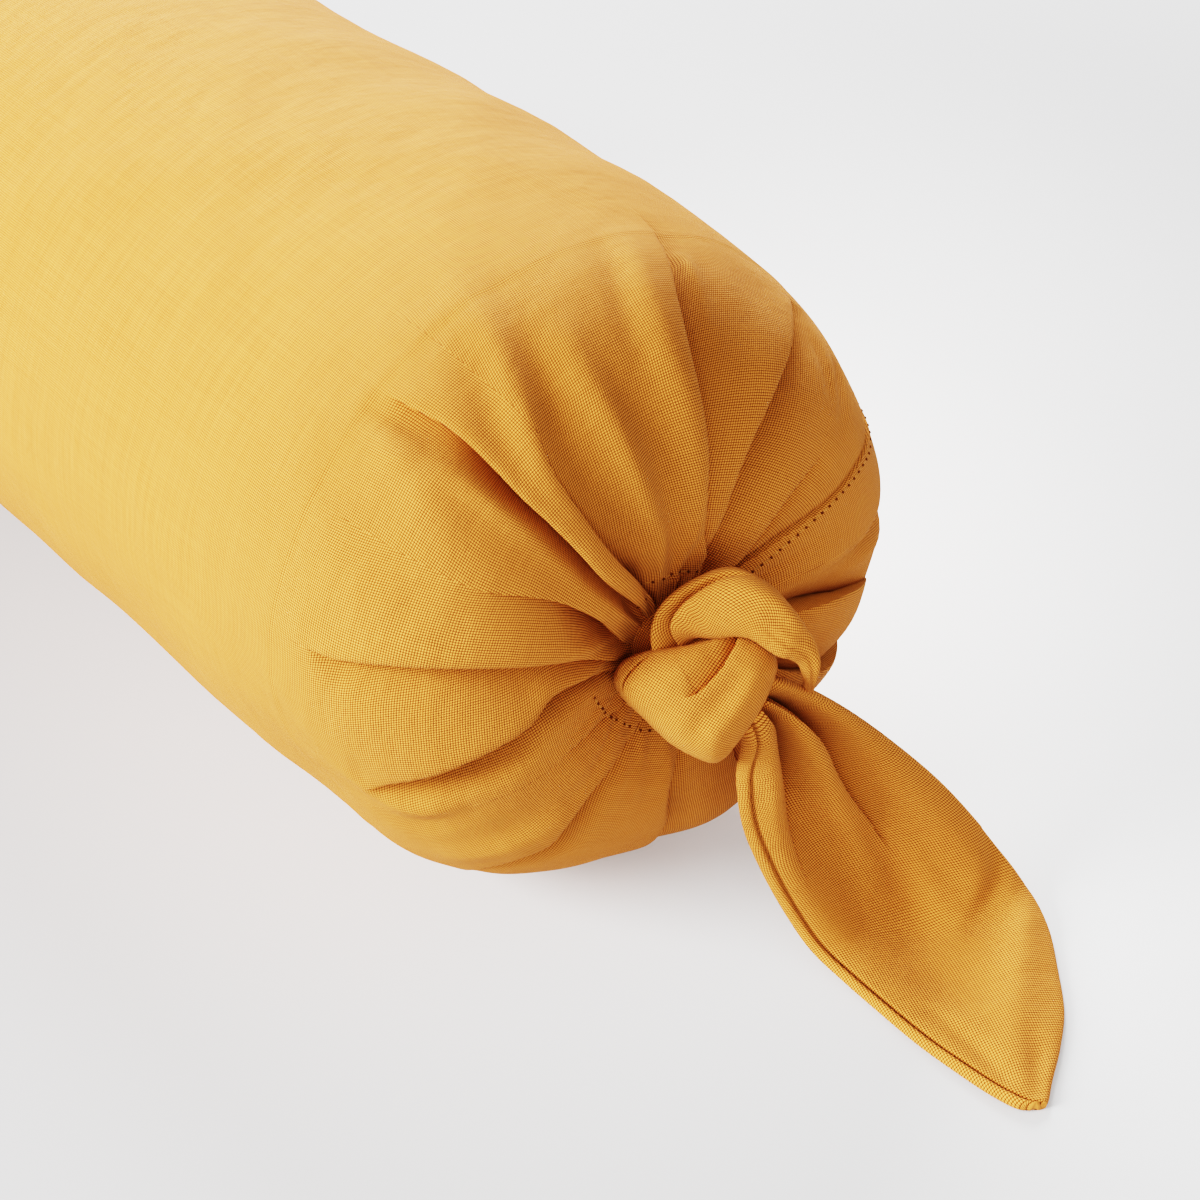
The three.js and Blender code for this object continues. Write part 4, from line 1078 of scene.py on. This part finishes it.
def build_stitching(form):
    """All rows of stitching in one mesh."""
    points, faces, kinds = [], [], []
    for side, stations in STITCH_ROWS:
        row_points, row_faces, row_kinds = stitch_forms(*stitch_places(form, side, stations))
        start = sum(len(p) for p in points)
        points.append(row_points)
        faces += [[v + start for v in face] for face in row_faces]
        kinds += row_kinds
    sewn = mesh_from("seam_stitching", np.concatenate(points), faces)
    sewn.data.polygons.foreach_set("material_index", kinds)
    return sewn


class BOLSTER_OT_stitching(bpy.types.Operator):
    """Sew the rows of stitching round the hem and beside the long seam"""
    bl_idname = "bolster.stitching"
    bl_label = "Sew the stitching"

    def execute(self, context):
        cloth = context.scene.bolster_cloth
        sewn = build_stitching(CoverForm(context.scene.bolster_cover))
        sewn.data.materials.append(sewn_material("sewing_thread", cloth.thread_colour, 0.7))
        # The needle holes' dark caps carry painted shade.
        sewn.data.materials.append(sewn_material("needle_hole_painted_shade", cloth.hole_shade_colour, 0.95))
        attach(sewn, "root")
        return {"FINISHED"}


# ---------------------------------------------------------------- the tie

def in_knot(points, form):
    """Points of the knot's own frame (across, up, out) as places of the cushion."""
    c, s = math.cos(KNOT_TILT), math.sin(KNOT_TILT)
    across = np.array([math.cos(KNOT_TURN), math.sin(KNOT_TURN), 0])
    out = np.array([math.sin(KNOT_TURN) * c, -math.cos(KNOT_TURN) * c, s])
    middle = np.array(KNOT_MIDDLE) + (form.length / 2, 0, form.axis_height)
    return middle + points @ np.array([across, np.cross(out, across), out])


def build_neck(form, steps=40, sides=40):
    """The oval neck between the knot and the mouth."""
    values = evenly_through(NECK, np.linspace(0, 1, steps + 1))
    point = values[:, :3]
    along = unit(np.gradient(point, axis=0))
    width = unit(np.cross(along, (0, 1, 0)))
    thick = np.cross(along, width)
    a = np.linspace(0, 2 * np.pi, sides, endpoint=False)
    ring = (point[:, None] + width[:, None] * values[:, 3, None, None] * np.cos(a)[None, :, None]
            + thick[:, None] * values[:, 4, None, None] * np.sin(a)[None, :, None])
    length = np.linspace(0, np.linalg.norm(point[-1] - point[0]), steps + 1)
    here = np.stack(np.broadcast_arrays(a * values[0, 3], length[:, None]), -1)
    beside = here + ((a[1] - a[0]) * values[0, 3], 0)
    return closed_mesh("knot_neck", in_knot(ring[:, ::-1], form), here, beside)


def strap_folds(folds, share_along, share, width):
    """How far a strap's folds press its points in, and how far they pull them across."""
    press = np.zeros((len(share_along), len(share)))
    pull = np.zeros_like(press)
    for side, sharp, tuck, stations in folds:
        path, depth, spread = np.moveaxis(through(stations, share_along), -1, 0)[..., None]
        ended = (share_along > max(stations)[0]) | (share_along < min(stations)[0])
        depth = np.where(ended[:, None], 0, depth)
        off = (share[None] - path) * width[:, None]
        press += relief(off, depth, spread, side, sharp, lip=STRAP_LIP)
        if side:
            pull -= side * tucked(off, spread, side) * tuck * np.clip(depth / TIE_TUCK_DEPTH, 0, 1)
    return press, pull


def edge_seam(share_along, share, width):
    """The seam beside the tail's edge: how far it presses in, and how much shade is painted into its
    groove's colour.
    """
    off = share[None] * width[:, None] - TAIL_SEAM_INSET
    starts = smoothstep(share_along, *SEAM_STARTS)[:, None]
    groove = SEAM_GROOVE[0] * np.exp(-(off / SEAM_GROOVE[1]) ** 2)
    roll = SEAM_ROLL[0] * np.exp(-((off + SEAM_ROLL[2]) / SEAM_ROLL[1]) ** 2)
    return starts * (groove - roll), SEAM_SHADE[0] * starts * np.exp(-(off / SEAM_SHADE[1]) ** 2)


def strap_rings(rows, folds, steps, wide, round_edge, seam=False, thread_turn=0.0, root_painted_shade=0.0,
                stretch=1.0):
    """Rings of a strap between its two edges: the upper side from right to left, then the lower.
    With them, the threads' places at both sides of each quad, and how much shade is painted
    into the colour."""
    share_along, share = np.linspace(0, 1, steps + 1), np.linspace(0, 1, wide + 1)
    values = evenly_through(rows, share_along)
    left, right, arch, half = values[:, 0:3], values[:, 3:6], values[:, 6], values[:, 7]
    across = right - left
    width = np.linalg.norm(across, axis=1)
    along = unit(np.gradient(left + right, axis=0))
    face = unit(np.cross(along, across))
    press, pull = strap_folds(folds, share_along, share, width)
    seam_press, seam_shade = edge_seam(share_along, share, width) if seam else (0, 0)
    press += seam_press
    bow = arch[:, None] * np.sin(np.pi * share[None]) - press
    middle = (left[:, None] + across[:, None] * share[None, :, None]
              + unit(across)[:, None] * pull[..., None] + face[:, None] * bow[..., None])
    thick = half[:, None] * (1 - np.abs(2 * share[None] - 1) ** round_edge) ** (1 / 2)
    upper = middle + face[:, None] * thick[..., None]
    lower = (middle - face[:, None] * thick[..., None])[:, 1:-1]
    rings = np.concatenate([upper[:, ::-1], lower], axis=1)

    length = np.concatenate([[0], np.cumsum(np.linalg.norm(np.diff((left + right) / 2, axis=0), axis=1))])
    over = np.linalg.norm(np.diff(rings, axis=1, append=rings[:, :1]), axis=2)
    run = np.cumsum(over, axis=1) - over
    run = run[:, wide // 2][:, None] - run
    here = np.stack(np.broadcast_arrays(run, length[:, None]), -1)
    beside = here - np.stack([over, 0 * over], -1)
    c, s = math.cos(thread_turn), math.sin(thread_turn)
    turned = np.array([[c, s], [-s, c]])

    # Shade painted into the colour in the folds, stronger towards the root, and along the seam's groove.
    rooted = 1 + root_painted_shade * np.exp(-(share_along / ROOT_SHARE) ** 2)[:, None]
    painted_shade = PAINTED_CREASE_SHADE * rooted * np.maximum(press, 0) + seam_shade
    painted_shade = np.concatenate([painted_shade[:, ::-1], 0 * painted_shade[:, 1:-1]], axis=1)
    return rings, here @ turned / stretch, beside @ turned / stretch, painted_shade


def stroke(points, stations, samples=90):
    """For points of a plane: the signed distance from a curve, the way the curve runs there, and
    its other columns."""
    line = evenly_through(stations, np.linspace(0, 1, samples))
    apart = points[:, None] - line[None, :, :2]
    nearest = np.argmin((apart ** 2).sum(-1), axis=1)
    way = unit(np.gradient(line[:, :2], axis=0))[nearest]
    gap = apart[np.arange(len(points)), nearest]
    off = way[:, 0] * gap[:, 1] - way[:, 1] * gap[:, 0]
    off = np.where(off < 0, -1, 1) * np.linalg.norm(gap, axis=1)
    return off, way, line[nearest, 2:]


def wrap_folds(flat):
    """How far the wrap's folds press its points in, and how far they pull them over its plane."""
    press, pull = np.zeros(len(flat)), np.zeros((len(flat), 2))
    for side, sharp, tuck, stations in WRAP_FOLDS:
        off, way, columns = stroke(flat, stations)
        depth, spread = columns.T
        cut = CREASE_CUT * (np.max(depth) < CREASE_DEPTH)
        press += relief(off, depth, spread, side, sharp, lip=WRAP_LIP, cut=cut)
        if side:
            under = tucked(off, spread, side) * tuck * np.clip(depth / TIE_TUCK_DEPTH, 0, 1)
            pull += np.stack([way[:, 1], -way[:, 0]], -1) * (side * under)[:, None]
    return press, pull


def build_wrap(form, rings=110, back_rings=25, around=420):
    """The knot's wide front turn: a pillow over its rim, with its folds pressed in."""
    corners = list(zip(np.linspace(0, 1, len(WRAP_RIM), endpoint=False), WRAP_RIM))
    turns = [(place + turn, *row) for turn in (-1, 0, 1) for place, row in corners]
    rim = through(turns, np.linspace(0, 1, around, endpoint=False))
    middle = np.array(WRAP_MIDDLE)

    def pillow(share, height):
        """One side of the pillow: the rim where the share is 1, and the height where it is 0."""
        plane = middle[:2] + share[:, None, None] * (rim[None, :, :2] - middle[:2])
        dome = (1 - share ** WRAP_DOME) ** (1 / WRAP_DOME)
        raised = rim[None, :, 2] + (height - rim[None, :, 2]) * dome[:, None]
        return np.concatenate([plane, raised[..., None]], -1)

    share = np.linspace(WRAP_INNERMOST[0], 1, rings) ** WRAP_CROWDING
    smooth = pillow(share, middle[2])
    back = pillow(np.linspace(1, WRAP_INNERMOST[1], back_rings + 1)[1:], WRAP_BACK)
    press, pull = wrap_folds(smooth[..., :2].reshape(-1, 2))
    press, pull = press.reshape(rings, around), pull.reshape(rings, around, 2)
    hold = (1 - share ** WRAP_RIM_FADE)[:, None]
    front = np.concatenate([smooth[..., :2] + pull * hold[..., None],
                            (smooth[..., 2] - press * hold)[..., None]], -1)

    steps = np.linalg.norm(np.diff(np.concatenate([smooth, back]), axis=0), axis=2)
    run = np.concatenate([[0 * rim[:, 0]], np.cumsum(steps, axis=0)])
    facing = np.arctan2(rim[:, 1] - middle[1], rim[:, 0] - middle[0]) + WRAP_THREAD_TURN
    here = run[..., None] * np.stack([np.cos(facing), np.sin(facing)], -1)
    # Shade painted into the colour in the wrap's folds.
    painted_shade = np.concatenate([press, 0 * back[..., 2]]) * PAINTED_CREASE_SHADE
    return closed_mesh("knot_front_wrap", in_knot(np.concatenate([front, back]), form),
                       here, np.roll(here, -1, axis=1), np.maximum(painted_shade, 0))


def build_band(form):
    """The knot's upper band, from behind the wrap over the top to its right end."""
    rings, *looks = strap_rings(BAND_ROWS, BAND_FOLDS, steps=260, wide=90, round_edge=2.4,
                                thread_turn=0.7, stretch=0.94)
    return closed_mesh("knot_upper_band", in_knot(rings, form), *looks)


def build_tail(form):
    """The free tail, which ends in a point and lies on the surface."""
    rings, *looks = strap_rings(TAIL_ROWS, TAIL_FOLDS, steps=330, wide=150, round_edge=8, seam=True,
                                root_painted_shade=1.2, stretch=1.13)
    rings = rings + (form.length / 2, 0, 0)
    rings[..., 2] = np.maximum(rings[..., 2], 0)
    return closed_mesh("tie_tail", rings, *looks)


class BOLSTER_OT_tie(bpy.types.Operator):
    """Make the tie: the knot's bands and the free tail"""
    bl_idname = "bolster.tie"
    bl_label = "Make the tie"

    def execute(self, context):
        form = CoverForm(context.scene.bolster_cover)
        material = cloth_material("mustard_tie_cloth", context.scene.bolster_cloth, contrast=3.0)
        wrap, band, neck, tail = build_wrap(form), build_band(form), build_neck(form), build_tail(form)
        for piece in (wrap, band, neck, tail):
            piece.data.materials.append(material)
            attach(piece, "root")
        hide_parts("tie")
        return {"FINISHED"}


# ---------------------------------------------------------------- the stage

def build_floor(stage):
    """The pale surface that the bolster lies on."""
    half = stage.floor_size / 2
    mesh = bpy.data.meshes.new("floor")
    mesh.from_pydata([(-half, -half, 0), (half, -half, 0), (half, half, 0), (-half, half, 0)],
                     [], [(0, 1, 2, 3)])
    mesh.materials.append(floor_material(stage))
    return bpy.data.objects.new("floor", mesh)


def build_lamp(name, place, target, power):
    """A soft round lamp at a place, pointed at a target."""
    data = bpy.data.lights.new(name, "AREA")
    data.shape = "DISK"
    data.size = LAMP_SIZE
    data.energy = power
    lamp = bpy.data.objects.new(name, data)
    lamp.location = place
    lamp.rotation_euler = (Vector(target) - Vector(place)).to_track_quat("-Z", "Y").to_euler()
    return lamp


def build_world():
    """Even white light from all round."""
    world = bpy.data.worlds.new("soft_room")
    world.use_nodes = True
    set_inputs(world.node_tree.nodes["Background"], {"Color": (1, 1, 1, 1), "Strength": 0.8})
    return world


def build_camera(lens, crown):
    """The camera, placed from the crown of the knotted end."""
    data = bpy.data.cameras.new("camera")
    data.lens = lens
    data.sensor_width = 36
    data.clip_start = 0.01
    c, s = math.cos(CAMERA_TILT), math.sin(CAMERA_TILT)
    ahead = Vector((-math.sin(CAMERA_TURN) * c, math.cos(CAMERA_TURN) * c, -s))
    camera = bpy.data.objects.new("camera", data)
    camera.location = Vector(CAMERA_PLACE) + Vector((crown, 0, 0))
    camera.rotation_mode = "QUATERNION"
    camera.rotation_quaternion = ahead.to_track_quat("-Z", "Y")
    return camera


class BOLSTER_OT_stage(bpy.types.Operator):
    """Make the pale surface, the soft lights and the camera"""
    bl_idname = "bolster.stage"
    bl_label = "Make the stage"

    def execute(self, context):
        scene = context.scene
        floor = build_floor(scene.bolster_stage)
        camera = build_camera(scene.bolster_stage.lens, scene.bolster_cover.length / 2)
        for made in (floor, camera, *(build_lamp(name, *row) for name, row in LAMPS.items())):
            scene.collection.objects.link(made)
        scene.camera = camera
        scene.world = build_world()
        scene.view_settings.view_transform = "Filmic"
        scene.view_settings.look = "Very High Contrast"
        return {"FINISHED"}


class BOLSTER_PT_panel(bpy.types.Panel):
    """Lists the steps that make the bolster"""
    bl_idname = "BOLSTER_PT_panel"
    bl_label = "Bolster"
    bl_space_type = "VIEW_3D"
    bl_region_type = "UI"
    bl_category = "Bolster"

    def draw(self, context):
        for group in (context.scene.bolster_cover, context.scene.bolster_cloth, context.scene.bolster_stage):
            box = self.layout.box()
            for key in group.bl_rna.properties.keys():
                if key not in ("rna_type", "name"):
                    box.prop(group, key)
        for operator in (BOLSTER_OT_stage, BOLSTER_OT_cover, BOLSTER_OT_stitching, BOLSTER_OT_tie):
            self.layout.operator(operator.bl_idname)


CLASSES = (BolsterCoverSettings, BolsterClothSettings, BolsterStageSettings, BOLSTER_OT_cover,
           BOLSTER_OT_stitching, BOLSTER_OT_tie, BOLSTER_OT_stage, BOLSTER_PT_panel)


def register():
    for cls in CLASSES:
        bpy.utils.register_class(cls)
    bpy.types.Scene.bolster_cover = bpy.props.PointerProperty(type=BolsterCoverSettings)
    bpy.types.Scene.bolster_cloth = bpy.props.PointerProperty(type=BolsterClothSettings)
    bpy.types.Scene.bolster_stage = bpy.props.PointerProperty(type=BolsterStageSettings)


def unregister():
    del bpy.types.Scene.bolster_cover
    del bpy.types.Scene.bolster_cloth
    del bpy.types.Scene.bolster_stage
    for cls in reversed(CLASSES):
        bpy.utils.unregister_class(cls)


def main():
    register()
    bpy.ops.bolster.stage()
    bpy.ops.bolster.cover()
    bpy.ops.bolster.stitching()
    bpy.ops.bolster.tie()


if __name__ == "__main__":
    main()
